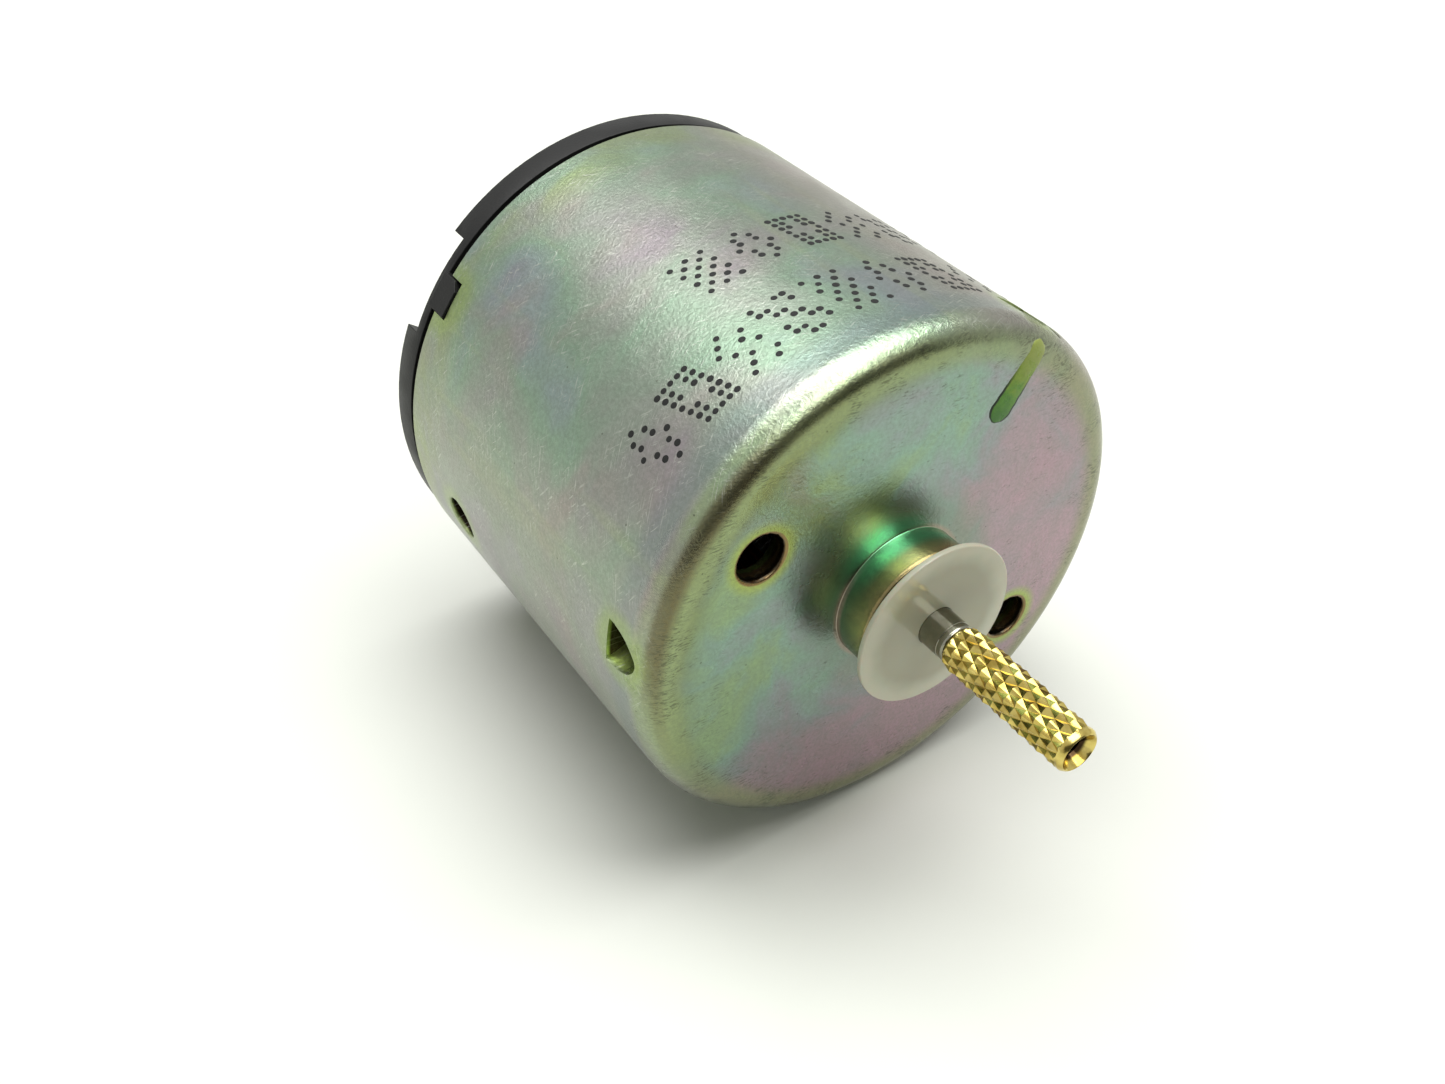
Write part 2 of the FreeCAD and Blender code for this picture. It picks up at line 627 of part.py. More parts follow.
def make_commutator():
    """Moulded hub, copper segments with risers, and the suppressor ring round the risers."""
    bore = "shaft_radius + fit_gap"
    front, rear = "- commutator_back", "- commutator_back - commutator_length"
    nose_end = ("end_play + thrust_thickness + rear_bearing_length + hub_lip"
                " - hub_reach - flange_depth - can_length")
    hub = revolve("commutator_hub", [
        (front, bore),
        (front, "segment_radius"),
        (front + " - segment_margin", "segment_radius"),
        (front + " - segment_margin", "commutator_hub_radius"),
        (rear, "commutator_hub_radius"),
        (rear, "nose_radius"),
        (nose_end, "nose_radius"),
        (nose_end, bore),
    ])
    add_finished(hub, "commutator_hub")
    start = "commutator_back + segment_margin"
    for index in range(POLES):
        middle = FIRST_POLE_ANGLE + POLE_SPACING / 2 + index * POLE_SPACING
        plate = tube("commutator_hub_radius + fit_gap", "segment_radius", start,
                     "commutator_length - segment_margin - segment_margin", FIRST_POLE_ANGLE, SEGMENT_SPAN)
        riser = block("- riser_width/2", "segment_radius - segment_margin", start, "riser_width",
                      "riser_radius - segment_radius + segment_margin", "riser_thickness")
        add_finished(join([plate, riser]), f"segment_{index + 1}", middle - FIRST_POLE_ANGLE)
    varistor = tube("segment_radius + varistor_gap", "varistor_radius",
                    start + " + riser_thickness", "varistor_thickness")
    add_finished(varistor, "ring_varistor")


# ---------------------------------------------------------------- build and export

def check_document():
    """Stops if any object failed to build, or if a sub-part isn't a valid solid."""
    for item in doc.Objects:
        if {"Invalid", "Error"} & set(item.State):
            raise RuntimeError(f"{item.Name} failed: {item.State}")
    for piece in subparts:
        if piece.Shape.isNull() or not piece.Shape.isValid() or not piece.Shape.Solids:
            raise RuntimeError(piece.Label + " has no valid solid")


def main():
    make_can()
    make_endcap()
    make_bearings()
    make_magnets_and_clips()
    make_brush_gear()
    make_shaft()
    make_knurled_sleeve()
    make_washers()
    make_core()
    make_coils()
    make_commutator()
    doc.recompute()
    check_document()
    os.makedirs("parts", exist_ok=True)
    for piece in subparts:
        piece.Shape.exportStep(os.path.join("parts", piece.Label + ".step"))
        print(f"{piece.Label:22s} {len(piece.Shape.Solids)} solid {piece.Shape.Volume:9.2f} mm3")


main()
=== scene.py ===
import bmesh
import bpy
import random
from math import asin, atan2, cos, degrees, hypot, pi, prod, radians, sin, sqrt, tan
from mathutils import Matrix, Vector


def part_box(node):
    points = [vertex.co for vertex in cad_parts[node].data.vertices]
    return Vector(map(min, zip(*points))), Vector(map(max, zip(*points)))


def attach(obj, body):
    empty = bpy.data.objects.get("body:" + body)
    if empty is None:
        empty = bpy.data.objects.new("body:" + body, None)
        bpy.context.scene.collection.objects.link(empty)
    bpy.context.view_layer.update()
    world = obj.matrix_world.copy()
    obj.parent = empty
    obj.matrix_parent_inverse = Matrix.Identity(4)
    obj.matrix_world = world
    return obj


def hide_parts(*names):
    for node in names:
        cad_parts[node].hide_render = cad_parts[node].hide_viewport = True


# Round-can DC motor: plated can, black end cover, white disc and knurled brass sleeve.
# Sizes here are millimetres; MM turns them into the frame's metres. Angles are degrees about
# the shaft, from +Y towards +Z. A distance "along" is the frame's X.

MM = 0.001
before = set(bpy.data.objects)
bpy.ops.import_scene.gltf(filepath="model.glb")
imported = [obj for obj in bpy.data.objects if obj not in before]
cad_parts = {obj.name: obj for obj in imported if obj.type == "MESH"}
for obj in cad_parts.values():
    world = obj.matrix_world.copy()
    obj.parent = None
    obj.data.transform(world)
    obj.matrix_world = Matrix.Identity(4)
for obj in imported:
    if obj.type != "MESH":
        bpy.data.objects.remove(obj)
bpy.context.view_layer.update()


# -------- places in the frame

def extent(node):
    """A node's lowest and highest corner in millimetres."""
    low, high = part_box(node)
    return low / MM, high / MM


CAN_LOW, CAN_HIGH = extent("can")
CAN_RADIUS = CAN_HIGH.z
CAN_REAR = CAN_LOW.x
BOSS_FRONT = CAN_HIGH.x
WASHER_LOW, WASHER_HIGH = extent("front_washer")
SLEEVE_LOW, SLEEVE_HIGH = extent("knurled_sleeve")
SHAFT_LOW, SHAFT_HIGH = extent("shaft")
BEARING_RADIUS = extent("front_bearing")[1].z

# The can: its drawn wall stays a little inside the CAD's outline, to leave room for ink and paint.
SKIN_RADIUS = CAN_RADIUS - 0.01
WALL = 1.0
FILLET = 1.4
INNER_FILLET = 0.6
BOSS_RADIUS = 3.54
BOSS_EDGE = 0.3
BOSS_ROOT = 0.045
BOSS_MOUTH = 1.7
BOSS_LIP = 0.75
POCKET_GAP = 0.02
SCREW_ANGLE = 143.5
SCREW_CIRCLE = 9.75
SCREW_HOLE = 1.2
SCREW_EDGE = 0.18
SCREW_PATCH = 1.75               # a hole's patch of mesh: half its length, and its reach in degrees
SCREW_REACH = 11
REAR_HOLE_ANGLE = SCREW_ANGLE + 45
REAR_HOLE_ALONG = -18.56
REAR_HOLE = 1.17
REAR_EDGE = 0.12
REAR_PATCH = 1.7
REAR_REACH = 7
NOTCH_WIDTH = 2.05
NOTCH_DEPTH = 1.07
NOTCH_REACH = degrees(asin(NOTCH_WIDTH / 2 / CAN_RADIUS))
MAGNET_ANGLE = SCREW_ANGLE + 60
LANCE_OFFSET = 31
LANCE_REAR = -3.16
LANCE_LENGTH = 2.2
LANCE_WIDTH = 2.3
LANCE_DEPTH = 2.1
LANCE_MARGIN = 0.25
LANCE_FRONT_ROW = -FILLET / 2

# The sleeve and the shaft inside it.
KNURL_STARTS = 12
KNURL_HELIX = 28.6
KNURL_DEPTH = 0.15
KNURL_STEPS = 6
SLEEVE_PLAIN = 0.34
SLEEVE_CHAMFER = 0.18
SLEEVE_BORE = 0.64
SPIGOT_RADIUS = 0.6
SHAFT_RADIUS = 1.0
SHOULDER = 4.35
SHOULDER_EDGE = 0.16
WASHER_BORE = 1.005
WASHER_EDGE = 0.08

# Print: each row's rear and front in can radii, first angle, groups, lean per dot, first motif.
INK_ROWS = ((-0.845, -0.634, 110.7, 6, 0.35, 1), (-0.47, -0.235, 141.0, 8, 0.55, 3))
INK_GROUP_PITCH = 11.2
INK_COLUMN_PITCH = 1.75
INK_DOT = 0.165
STRIPE_WIDTH = 1.62
STRIPE_OUTER_WIDTH = 0.95

# Studio: the world's strength for light and for reflections; the camera's place in can radii.
STUDIO_LIGHT = 0.23
STUDIO_REFLECTED = 0.78
CAMERA_PLACE = (2.596, -2.448, 3.230)
CAMERA_AIM = (-0.6312, 0.4229, -0.6503)
FOCAL_LENGTH = 35.22


def around(radius, angle, along):
    """A point at a radius and angle about the shaft, in millimetres."""
    turn = radians(angle)
    return Vector((along, radius * cos(turn), radius * sin(turn)))


def spread(start, end, count):
    """Evenly spaced numbers from start to end, both included."""
    return [start + (end - start) * step / (count - 1) for step in range(count)]


def ring_of(first, count):
    """Angles evenly round the shaft, starting at the first."""
    return [(first + 360 * step / count) % 360 for step in range(count)]


def apart(first, second):
    """The signed angle from second to first, between -180 and 180."""
    return (first - second + 180) % 360 - 180


def off_line(point, angle):
    """How far a point lies past an angle about the shaft, in radians."""
    return radians(apart(degrees(atan2(point.z, point.y)), angle))


def arc(centre, radius, start, end, count):
    """Profile points (along, radius) on an arc; 0 degrees points outward from the shaft."""
    points = []
    for angle in spread(start, end, count):
        turn = radians(angle)
        points.append((centre[0] + radius * sin(turn), centre[1] + radius * cos(turn)))
    return points


STRIPE_START = around(0.656 * CAN_RADIUS, 58.9, 0.0)
STRIPE_END = around(0.957 * CAN_RADIUS, 57.3, 0.0)


def lance_angles():
    """Angles of the four magnet stops: one each side of each magnet's middle."""
    return [MAGNET_ANGLE + half + side * LANCE_OFFSET for half in (0, 180) for side in (-1, 1)]


# -------- mesh helpers

def shown(name, data):
    """A new object in the scene."""
    thing = bpy.data.objects.new(name, data)
    bpy.context.scene.collection.objects.link(thing)
    return thing


class Surface:
    """Points in millimetres and faces, gathered before they become one mesh."""

    def __init__(self):
        self.points, self.faces = [], []

    def add(self, point):
        """Keeps a point and returns its number."""
        self.points.append(point)
        return len(self.points) - 1

    def ring(self, radius, along, count):
        """Points evenly round the shaft."""
        return [self.add(around(radius, angle, along)) for angle in ring_of(0, count)]

    def face(self, *corners):
        """Keeps a face, unless its corners fall together."""
        distinct = [c for step, c in enumerate(corners) if c != corners[step - 1]]
        if len(distinct) > 2:
            self.faces.append(distinct)

    def bridge(self, *loops):
        """Faces from one closed loop to the next; all have the same length."""
        for first, second in zip(loops, loops[1:]):
            for step in range(len(first)):
                self.face(first[step - 1], first[step], second[step], second[step - 1])

    def piece(self, name, body, material, slot, replaced=(), sharp=35.0):
        """The gathered mesh as a smooth-shaded object that rides on a body."""
        mesh = bpy.data.meshes.new(name)
        mesh.from_pydata([tuple(p * MM) for p in self.points], [], self.faces)
        mesh.validate()
        tidy = bmesh.new()
        tidy.from_mesh(mesh)
        bmesh.ops.recalc_face_normals(tidy, faces=tidy.faces)
        tidy.to_mesh(mesh)
        tidy.free()
        mesh.polygons.foreach_set("use_smooth", [True] * len(mesh.polygons))
        mesh.set_sharp_from_angle(angle=radians(sharp))
        piece = shown(name, mesh)
        mesh.materials.append(material)
        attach(piece, body)
        if replaced:
            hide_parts(*replaced)


def lathe(profile, count):
    """A closed profile of (along, radius) points turned once round the shaft."""
    surface = Surface()
    loops = []
    for along, radius in profile:
        if radius < 1e-6:
            centre = surface.add(Vector((along, 0, 0)))
            loops.append([centre] * count)
        else:
            loops.append(surface.ring(radius, along, count))
    surface.bridge(loops[-1], *loops)
    return surface


# -------- material helpers

def tint(red, green, blue):
    """A screen colour, 0 to 255, as the linear colour that Blender wants."""
    def linear(value):
        share = value / 255
        return share / 12.92 if share <= 0.04045 else ((share + 0.055) / 1.055) ** 2.4
    return (linear(red), linear(green), linear(blue), 1.0)


class Nodes:
    """The node tree of a material or world, its owner."""

    def __init__(self, owner):
        owner.use_nodes = True
        self.owner, self.tree = owner, owner.node_tree

    def join(self, value, socket):
        """Links an input to another socket, or sets it to a number, point or colour."""
        if isinstance(value, bpy.types.NodeSocket):
            self.tree.links.new(value, socket)
        else:
            socket.default_value = value

    def node(self, kind, inputs, output=0, **settings):
        """A new node's output; its inputs are given in their order or by name."""
        node = self.tree.nodes.new(kind)
        for name, value in settings.items():
            setattr(node, name, value)
        for name, value in inputs.items() if isinstance(inputs, dict) else enumerate(inputs):
            self.join(value, node.inputs[name])
        return node.outputs[output]


class Paint(Nodes):
    """A material's nodes: most helpers return the output socket that they make.

    Patterns lie at 'place', the object's own coordinates in millimetres, if nothing else is said.
    """

    def __init__(self, name):
        super().__init__(bpy.data.materials.new(name))
        self.place = self.scaled(self.node("ShaderNodeTexCoord", (), "Object"), 1 / MM)

    def put(self, **sockets):
        """Sets the shader's sockets, with underscores for spaces, and returns the material."""
        shader = self.tree.nodes["Principled BSDF"]
        for name, value in sockets.items():
            self.join(value, shader.inputs[name.replace("_", " ")])
        return self.owner

    def scaled(self, vector, scale):
        """The vector times a number, or times three of them."""
        scale = scale if isinstance(scale, tuple) else (scale,) * 3
        return self.node("ShaderNodeVectorMath", (vector, scale), operation="MULTIPLY")

    def math(self, operation, first, second=0.0):
        return self.node("ShaderNodeMath", (first, second), operation=operation)

    def times(self, first, *others):
        """The product of the values."""
        for other in others:
            first = self.math("MULTIPLY", first, other)
        return first

    def most(self, first, *others):
        """The largest of the values."""
        for other in others:
            first = self.math("MAXIMUM", first, other)
        return first

    def split(self, vector):
        """A vector's three components."""
        node = self.tree.nodes.new("ShaderNodeSeparateXYZ")
        self.join(vector, node.inputs[0])
        return node.outputs

    def off_axis(self):
        """Distance from the shaft's axis, in millimetres."""
        _, y, z = self.split(self.place)
        return self.math("SQRT", self.math("ADD", self.times(y, y), self.times(z, z)))

    def unrolled(self, depth=0.0):
        """(arc length, along, depth) about the shaft, in millimetres; the seam is at the bottom."""
        x, y, z = self.split(self.place)
        length = self.times(self.math("ARCTAN2", y, z), CAN_RADIUS)
        return self.node("ShaderNodeCombineXYZ", (length, x, depth))

    def turned(self, vector, degrees):
        """The vector turned about its third axis."""
        return self.node("ShaderNodeVectorRotate", {"Vector": vector, "Angle": radians(degrees)},
                         rotation_type="Z_AXIS")

    def noise(self, size, detail=2.0, roughness=0.5, distortion=0.0, at=None):
        """Soft noise whose blobs are about 'size' millimetres; a tuple stretches it."""
        sizes = size if isinstance(size, tuple) else (size,) * 3
        vector = self.scaled(self.place if at is None else at, tuple(1 / s for s in sizes))
        return self.node("ShaderNodeTexNoise", {"Vector": vector, "Scale": 1.0, "Detail": detail,
                                                "Roughness": roughness, "Distortion": distortion})

    def specks(self, size, share):
        """1 inside small round specks spaced about 'size' millimetres, 0 elsewhere."""
        moved = self.scaled(self.place, 1 / size)
        cell = self.node("ShaderNodeTexVoronoi", {"Vector": moved, "Scale": 1.0})
        return self.fade(cell, share, share * 0.6)

    def fade(self, value, low, high, to_low=0.0, to_high=1.0):
        """Value rescaled from low..high, smoothly, with its ends held."""
        return self.node("ShaderNodeMapRange", (value, low, high, to_low, to_high),
                         interpolation_type="SMOOTHSTEP")

    def dulled(self, noise, low, high):
        """A roughness that follows a noise from low to high."""
        return self.fade(noise, 0.3, 0.7, low, high)

    def band(self, value, low, rise, fall, high):
        """1 where the value lies from 'rise' to 'fall', fading to 0 at 'low' and 'high'."""
        return self.times(self.fade(value, low, rise), self.fade(value, high, fall))

    def near(self, vector, points, outer, inner):
        """1 near any of the points, fading to 0 at the outer distance."""
        away = [self.node("ShaderNodeVectorMath", (vector, point), "Value", operation="DISTANCE")
                for point in points]
        return self.most(*[self.fade(distance, outer, inner) for distance in away])

    def ramp(self, value, *stops):
        """A colour ramp through (position, red, green, blue) stops."""
        node = self.tree.nodes.new("ShaderNodeValToRGB")
        elements = node.color_ramp.elements
        while len(elements) < len(stops):
            elements.new(0.5)
        for element, (position, *colour) in zip(elements, stops):
            element.position, element.color = position, tint(*colour)
        self.join(value, node.inputs[0])
        return node.outputs[0]

    def mix(self, share, first, second):
        """The first colour where the share is 0, the second where it is 1."""
        colour_a, colour_b, result = 6, 7, 2
        return self.node("ShaderNodeMix", {0: share, colour_a: first, colour_b: second}, result,
                         data_type="RGBA")

    def over(self, colour, *layers):
        """The colour under one (share, red, green, blue) layer after another."""
        for share, *top in layers:
            colour = self.mix(share, colour, tint(*top))
        return colour

    def bump(self, height, depth, under=None):
        """A normal from a height map whose full range is 'depth' millimetres."""
        sockets = {"Strength": 1.0, "Distance": depth * MM, "Height": height}
        if under is not None:
            sockets["Normal"] = under
        return self.node("ShaderNodeBump", sockets)


# -------- materials

def wall_place(angle, along):
    """Where a place on the wall lies in a Paint's unrolled coordinates."""
    return (radians(apart(90, angle)) * CAN_RADIUS, along, 0.0)


class Plating(Paint):
    """Yellow-green chromate plating on drawn steel: duller on the wall, glossy on the face."""

    def __init__(self):
        super().__init__("plated_can")
        self.along, self.y, self.z = self.split(self.place)
        self.radius, self.flat = self.off_axis(), self.unrolled()
        self.upper_left = self.math("DIVIDE", self.math("SUBTRACT", self.z, self.y), self.radius)
        self.upward = self.split(self.node("ShaderNodeNewGeometry", (), "Normal"))[2]
        self.face = self.fade(self.along, -0.75, -0.05)
        self.wall = self.math("SUBTRACT", 1.0, self.face)

    def wall_tints(self):
        """Soft clouds of green, blue-grey, pink and straw yellow."""
        broad = self.noise((9, 7, 1), 3, 0.5, 0.4, self.flat)
        second = self.noise((7, 5, 1), 3, 0.5, 0.5, self.scaled(self.flat, (1, -1, 1)))
        fine = self.noise((0.9, 0.7, 1), 3, 0.6, at=self.flat)
        bands = self.noise((1.6, 22, 1), at=self.flat)
        turn = self.math("ARCTAN2", self.y, self.z)
        sides = self.most(self.fade(turn, 0.05, 0.45), self.fade(turn, -1.05, -1.45, 0.0, 0.55))
        rim = self.times(self.fade(self.along, -19.2, -22.4),
                         self.fade(second, 0.38, 0.58, 0.05, 0.62))
        colour = self.ramp(broad, (0.30, 156, 148, 152), (0.42, 152, 160, 148), (0.52, 142, 166, 144),
                           (0.62, 146, 162, 158), (0.74, 152, 150, 160))
        return self.over(
            colour,
            (self.fade(second, 0.52, 0.72, 0, 0.55), 166, 150, 148),
            (self.fade(bands, 0.56, 0.72, 0, 0.22), 168, 180, 128),
            (self.fade(fine, 0.35, 0.65, 0, 0.11), 120, 128, 116),
            (self.times(sides, self.fade(broad, 0.3, 0.6, 0.35, 0.85)), 156, 140, 136),
            (rim, 152, 166, 104))

    def face_tints_and_painted_shade(self):
        """Green at the upper left, through grey, to pink low and right; painted shade round the boss's
        root and below the fillet's upper left.
        """
        swirl = self.noise(5.0, 4, 0.55, 0.5)
        fine = self.noise(1.1, 4, 0.6)
        slant = self.math("SUBTRACT", self.times(self.y, 0.75), self.times(self.z, 0.4))
        for more in (self.fade(self.z, -3.0, -12.0, 0.0, 9.0), self.fade(swirl, 0.2, 0.8, -8.0, 8.0)):
            slant = self.math("ADD", slant, more)
        shaded = self.times(self.fade(self.radius, 10.6, 12.4),
                            self.fade(self.upper_left, 0.7, 1.3), 0.7)
        colour = self.ramp(self.fade(slant, -15, 15), (0.05, 142, 166, 126), (0.22, 136, 164, 148),
                           (0.42, 142, 153, 152), (0.55, 146, 146, 150), (0.75, 160, 142, 150),
                           (0.95, 168, 142, 152))
        return self.over(
            colour,
            (self.fade(fine, 0.35, 0.65, 0, 0.22), 124, 134, 124),
            # Painted shade: darker green round the boss's root.
            (self.fade(self.radius, 6.5, 4.0, 0, 0.5), 110, 140, 112),
            (shaded, 122, 132, 92),
            (self.fade(self.radius, 11.4, 12.6, 0, 0.7), 136, 144, 100))

    def bend_tints_and_painted_reflections(self, colour):
        """Straw round the fillet, and blue-grey and brown bands there that are painted dark reflections;
        most are strongest at the fillet's upper left.
        """
        patches = self.noise(2.5, 3)
        share = self.times(self.fade(self.upper_left, 0.5, 1.1, 0.25, 1.0),
                           self.fade(self.radius, 11.8, 12.4), self.fade(patches, 0.3, 0.6, 0.5, 1.0))
        straw = self.times(self.fade(self.along, -1.35, -0.9), share,
                           self.fade(self.y, -5.0, -9.0, 0.5, 1.0), 0.6)
        left = self.times(self.fade(self.y, -6.0, -8.5), self.fade(self.z, -2.0, 3.0))
        return self.over(
            colour,
            (straw, 152, 168, 122),
            # Painted dark reflections: brown on the fillet's face side and lower left, blue-grey on the
            # wall just behind the fillet.
            (self.times(self.band(self.along, -0.42, -0.22, -0.10, 0.0), share, 0.5), 120, 116, 84),
            (self.times(self.band(self.along, -0.80, -0.45, -0.20, -0.02), left, 0.7), 104, 90, 66),
            (self.times(self.band(self.along, -3.4, -2.2, -1.6, -1.2), 0.4), 122, 138, 140))

    def worked_tints_and_painted_light(self, colour):
        """Yellow-green halos where the sheet was cut and pressed; painted light on pressed surfaces
        facing up, painted shade on those facing down or behind the lances, and in the screw holes.
        """
        screws = [tuple(around(SCREW_CIRCLE, angle, 0.0)) for angle in ring_of(SCREW_ANGLE, 2)]
        lances = [wall_place(angle, LANCE_REAR + 0.9) for angle in lance_angles()]
        edges = [wall_place(angle, REAR_HOLE_ALONG) for angle in ring_of(REAR_HOLE_ANGLE, 2)]
        edges += [wall_place(angle, CAN_REAR + 0.4) for angle in ring_of(SCREW_ANGLE, 2)]
        worked = self.times(self.wall, self.most(self.near(self.flat, lances, 2.3, 1.3),
                                                 self.near(self.flat, edges, 2.4, 1.3)), 0.5)
        cut = self.most(self.near(self.flat, lances, 1.55, 1.35), self.fade(self.along, -5.0, -6.0))
        # Pressed surfaces get painted light; 'shaded' marks where they get painted shade instead.
        pressed = self.times(cut, self.fade(self.radius, CAN_RADIUS - 0.05, CAN_RADIUS - 0.25))
        shaded = self.most(self.fade(self.upward, 0.42, 0.20), self.fade(self.along, -4.0, -6.0))
        return self.over(
            colour,
            (self.near(self.place, screws, 2.1, 1.4), 156, 172, 96),
            (self.near(self.place, screws, 1.42, 1.34), 136, 112, 74),
            # Painted shade inside the screw holes.
            (self.near(self.place, screws, 1.28, 1.22), 58, 42, 26),
            (worked, 156, 178, 96),
            (pressed, 200, 222, 128),
            (self.times(pressed, shaded), 44, 30, 20))

    def boss_tints_and_painted_reflection(self):
        """Teal green near the root, olive round the side, gold at the end; the bright teal on the
        upward-facing side near the root is a painted reflection.
        """
        place = self.fade(self.along, 0.0, BOSS_FRONT)
        colour = self.ramp(place, (0.0, 150, 140, 126), (0.03, 158, 146, 130), (0.06, 104, 128, 96),
                           (0.35, 134, 142, 98), (0.75, 168, 164, 108), (0.92, 184, 168, 112),
                           (1.0, 110, 96, 66))
        # Painted reflection: bright teal green where the side faces up near the root.
        green = self.times(self.fade(place, 0.65, 0.15), self.fade(self.upward, 0.4, 0.9))
        return self.over(colour, (green, 112, 190, 138))

    def finished(self):
        """The material: its tints under specks, scratches, scuffs and grain."""
        boss = self.times(self.fade(self.radius, 3.85, 3.6), self.face)
        colour = self.bend_tints_and_painted_reflections(self.mix(self.face, self.wall_tints(), self.face_tints_and_painted_shade()))
        colour = self.mix(boss, self.worked_tints_and_painted_light(colour), self.boss_tints_and_painted_reflection())
        hair = self.noise((1.1, 0.07, 1), 3, 0.6, 0.4, self.turned(self.flat, 25))
        dashes = self.noise((0.7, 0.10, 1), 3, 0.6, 0.6, self.turned(self.flat, -35))
        patches = self.noise((3, 2.4, 1), 3, at=self.flat)
        worn = self.times(self.most(self.fade(hair, 0.58, 0.68), self.fade(dashes, 0.60, 0.68)),
                          self.fade(patches, 0.40, 0.62, 0.08, 0.6), self.wall)
        scuffs = self.math("ADD", self.noise((0.30, 0.42, 0.08), 3, 0.7, 0.8),
                           self.fade(self.radius, 9.0, 13.3, 0.0, 0.10))
        clusters = self.noise(1.9, 3)
        scuffed = self.times(self.fade(scuffs, 0.60, 0.67), self.fade(clusters, 0.45, 0.60, 0.04, 0.6),
                             self.fade(self.face, 0.0, 1.0, 0.12, 1.0))
        grain = self.noise(0.19, 4, 0.7)
        colour = self.over(
            colour,
            (self.times(self.specks(1.3, 0.045), 0.6), 58, 54, 42),
            (worn, 206, 208, 198),
            (scuffed, 72, 72, 58),
            (self.fade(grain, 0.35, 0.65, 0.0, 0.24), 96, 104, 92))
        clouds = self.noise(2.6, 4)
        fillet = self.times(self.wall, self.fade(self.along, -2.1, -1.3))
        rough = self.math("ADD", self.times(self.wall, self.dulled(clouds, 0.28, 0.36)),
                          self.times(self.face, self.dulled(clouds, 0.22, 0.29)))
        for glossy in (fillet, boss):
            rough = self.math("SUBTRACT", rough, self.times(glossy, 0.05))
        normal = None
        for height, depth in ((self.times(hair, self.wall), 0.004),
                              (self.times(grain, self.fade(self.face, 0, 1, 1.0, 0.5)), 0.028),
                              (self.times(self.noise(0.34, 3), fillet), 0.028),
                              (self.noise(1.6, 2), 0.016)):
            normal = self.bump(height, depth, normal)
        return self.put(Base_Color=colour, Metallic=1.0, Roughness=rough, Normal=normal)


def black_plastic():
    """Moulded plastic with a fine grain."""
    paint = Paint("black_plastic")
    grain = paint.noise(0.14, 3, 0.6)
    broad = paint.noise(3.0, 3)
    colour = paint.mix(broad, tint(13, 14, 13), tint(23, 23, 22))
    return paint.put(Base_Color=colour, Roughness=paint.dulled(broad, 0.42, 0.56),
                     Specular_IOR_Level=0.28, Normal=paint.bump(grain, 0.012))


def turned_metal(name, light, dark, low, high, groove=0.05, depth=0.004, hollow=None):
    """Metal with fine turning lines round the shaft axis; painted shade inside the 'hollow' radius."""
    paint = Paint(name)
    radius = paint.off_axis()
    lines = paint.noise((8, groove, groove), 3, 0.6, at=paint.unrolled(radius))
    stains = paint.noise(0.8, 3)
    colour = paint.mix(paint.fade(stains, 0.35, 0.7), light, dark)
    if hollow is not None:
        # Painted shade in the bore.
        colour = paint.over(colour, (paint.fade(radius, hollow + 0.08, hollow), 58, 44, 28))
    return paint.put(Base_Color=colour, Metallic=1.0, Normal=paint.bump(lines, depth),
                     Roughness=paint.dulled(lines, low, high))


def white_nylon():
    """Milky plastic, with painted shade where the boss stands close behind it."""
    paint = Paint("white_nylon")
    clouds = paint.noise(2.2, 2)
    # Painted shade where the boss shows through from close behind.
    painted_boss_shade = paint.fade(paint.math("ADD", paint.off_axis(), clouds), 4.6, 3.4)
    colour = paint.mix(painted_boss_shade, tint(194, 193, 172), tint(164, 162, 140))
    return paint.put(Base_Color=colour, Roughness=paint.dulled(clouds, 0.10, 0.16),
                     Subsurface_Weight=0.3, Subsurface_Scale=0.4 * MM, Normal=paint.bump(clouds, 0.01))


def sintered(name, light, dark, metallic, roughness, grain_size, depth):
    """Pressed or fired granular material, such as ferrite, carbon, bronze or ceramic."""
    paint = Paint(name)
    grain = paint.noise(grain_size, 4, 0.7)
    broad = paint.noise(grain_size * 12, 3)
    colour = paint.mix(paint.fade(grain, 0.35, 0.68), dark, light)
    colour = paint.mix(paint.fade(broad, 0.4, 0.8, 0, 0.4), colour, dark)
    return paint.put(Base_Color=colour, Metallic=metallic, Normal=paint.bump(grain, depth),
                     Roughness=paint.dulled(grain, roughness - 0.08, roughness + 0.08))


def lamination_steel():
    """Stacked sheets: fine lines square to the shaft."""
    paint = Paint("lamination_steel")
    sheet = paint.math("PINGPONG", paint.split(paint.place)[0], 0.25)
    stains = paint.noise(1.5, 4)
    colour = paint.mix(stains, tint(120, 122, 126), tint(164, 160, 156))
    return paint.put(Base_Color=colour, Metallic=1.0, Roughness=paint.dulled(stains, 0.35, 0.5),
                     Normal=paint.bump(paint.fade(sheet, 0.0, 0.05), 0.03))


def enamelled_wire():
    """Turns of enamelled copper wire lying side by side along the shaft, with painted light on their
    crowns and painted shade in the grooves between them.
    """
    thickness = 0.3
    paint = Paint("enamelled_wire")
    wander = paint.times(paint.noise(2.0, 2), 0.3)
    height = paint.math("ADD", paint.off_axis(), wander)
    wire = paint.math("SINE", paint.times(height, 2 * pi / thickness))
    # Painted light on each turn's crown, painted shade in the grooves between turns.
    colour = paint.mix(paint.fade(wire, -1.0, 1.0), tint(96, 40, 16), tint(196, 104, 48))
    return paint.put(Base_Color=colour, Metallic=0.7, Roughness=0.3, Coat_Weight=0.6,
                     Coat_Roughness=0.15, Normal=paint.bump(wire, 0.08))


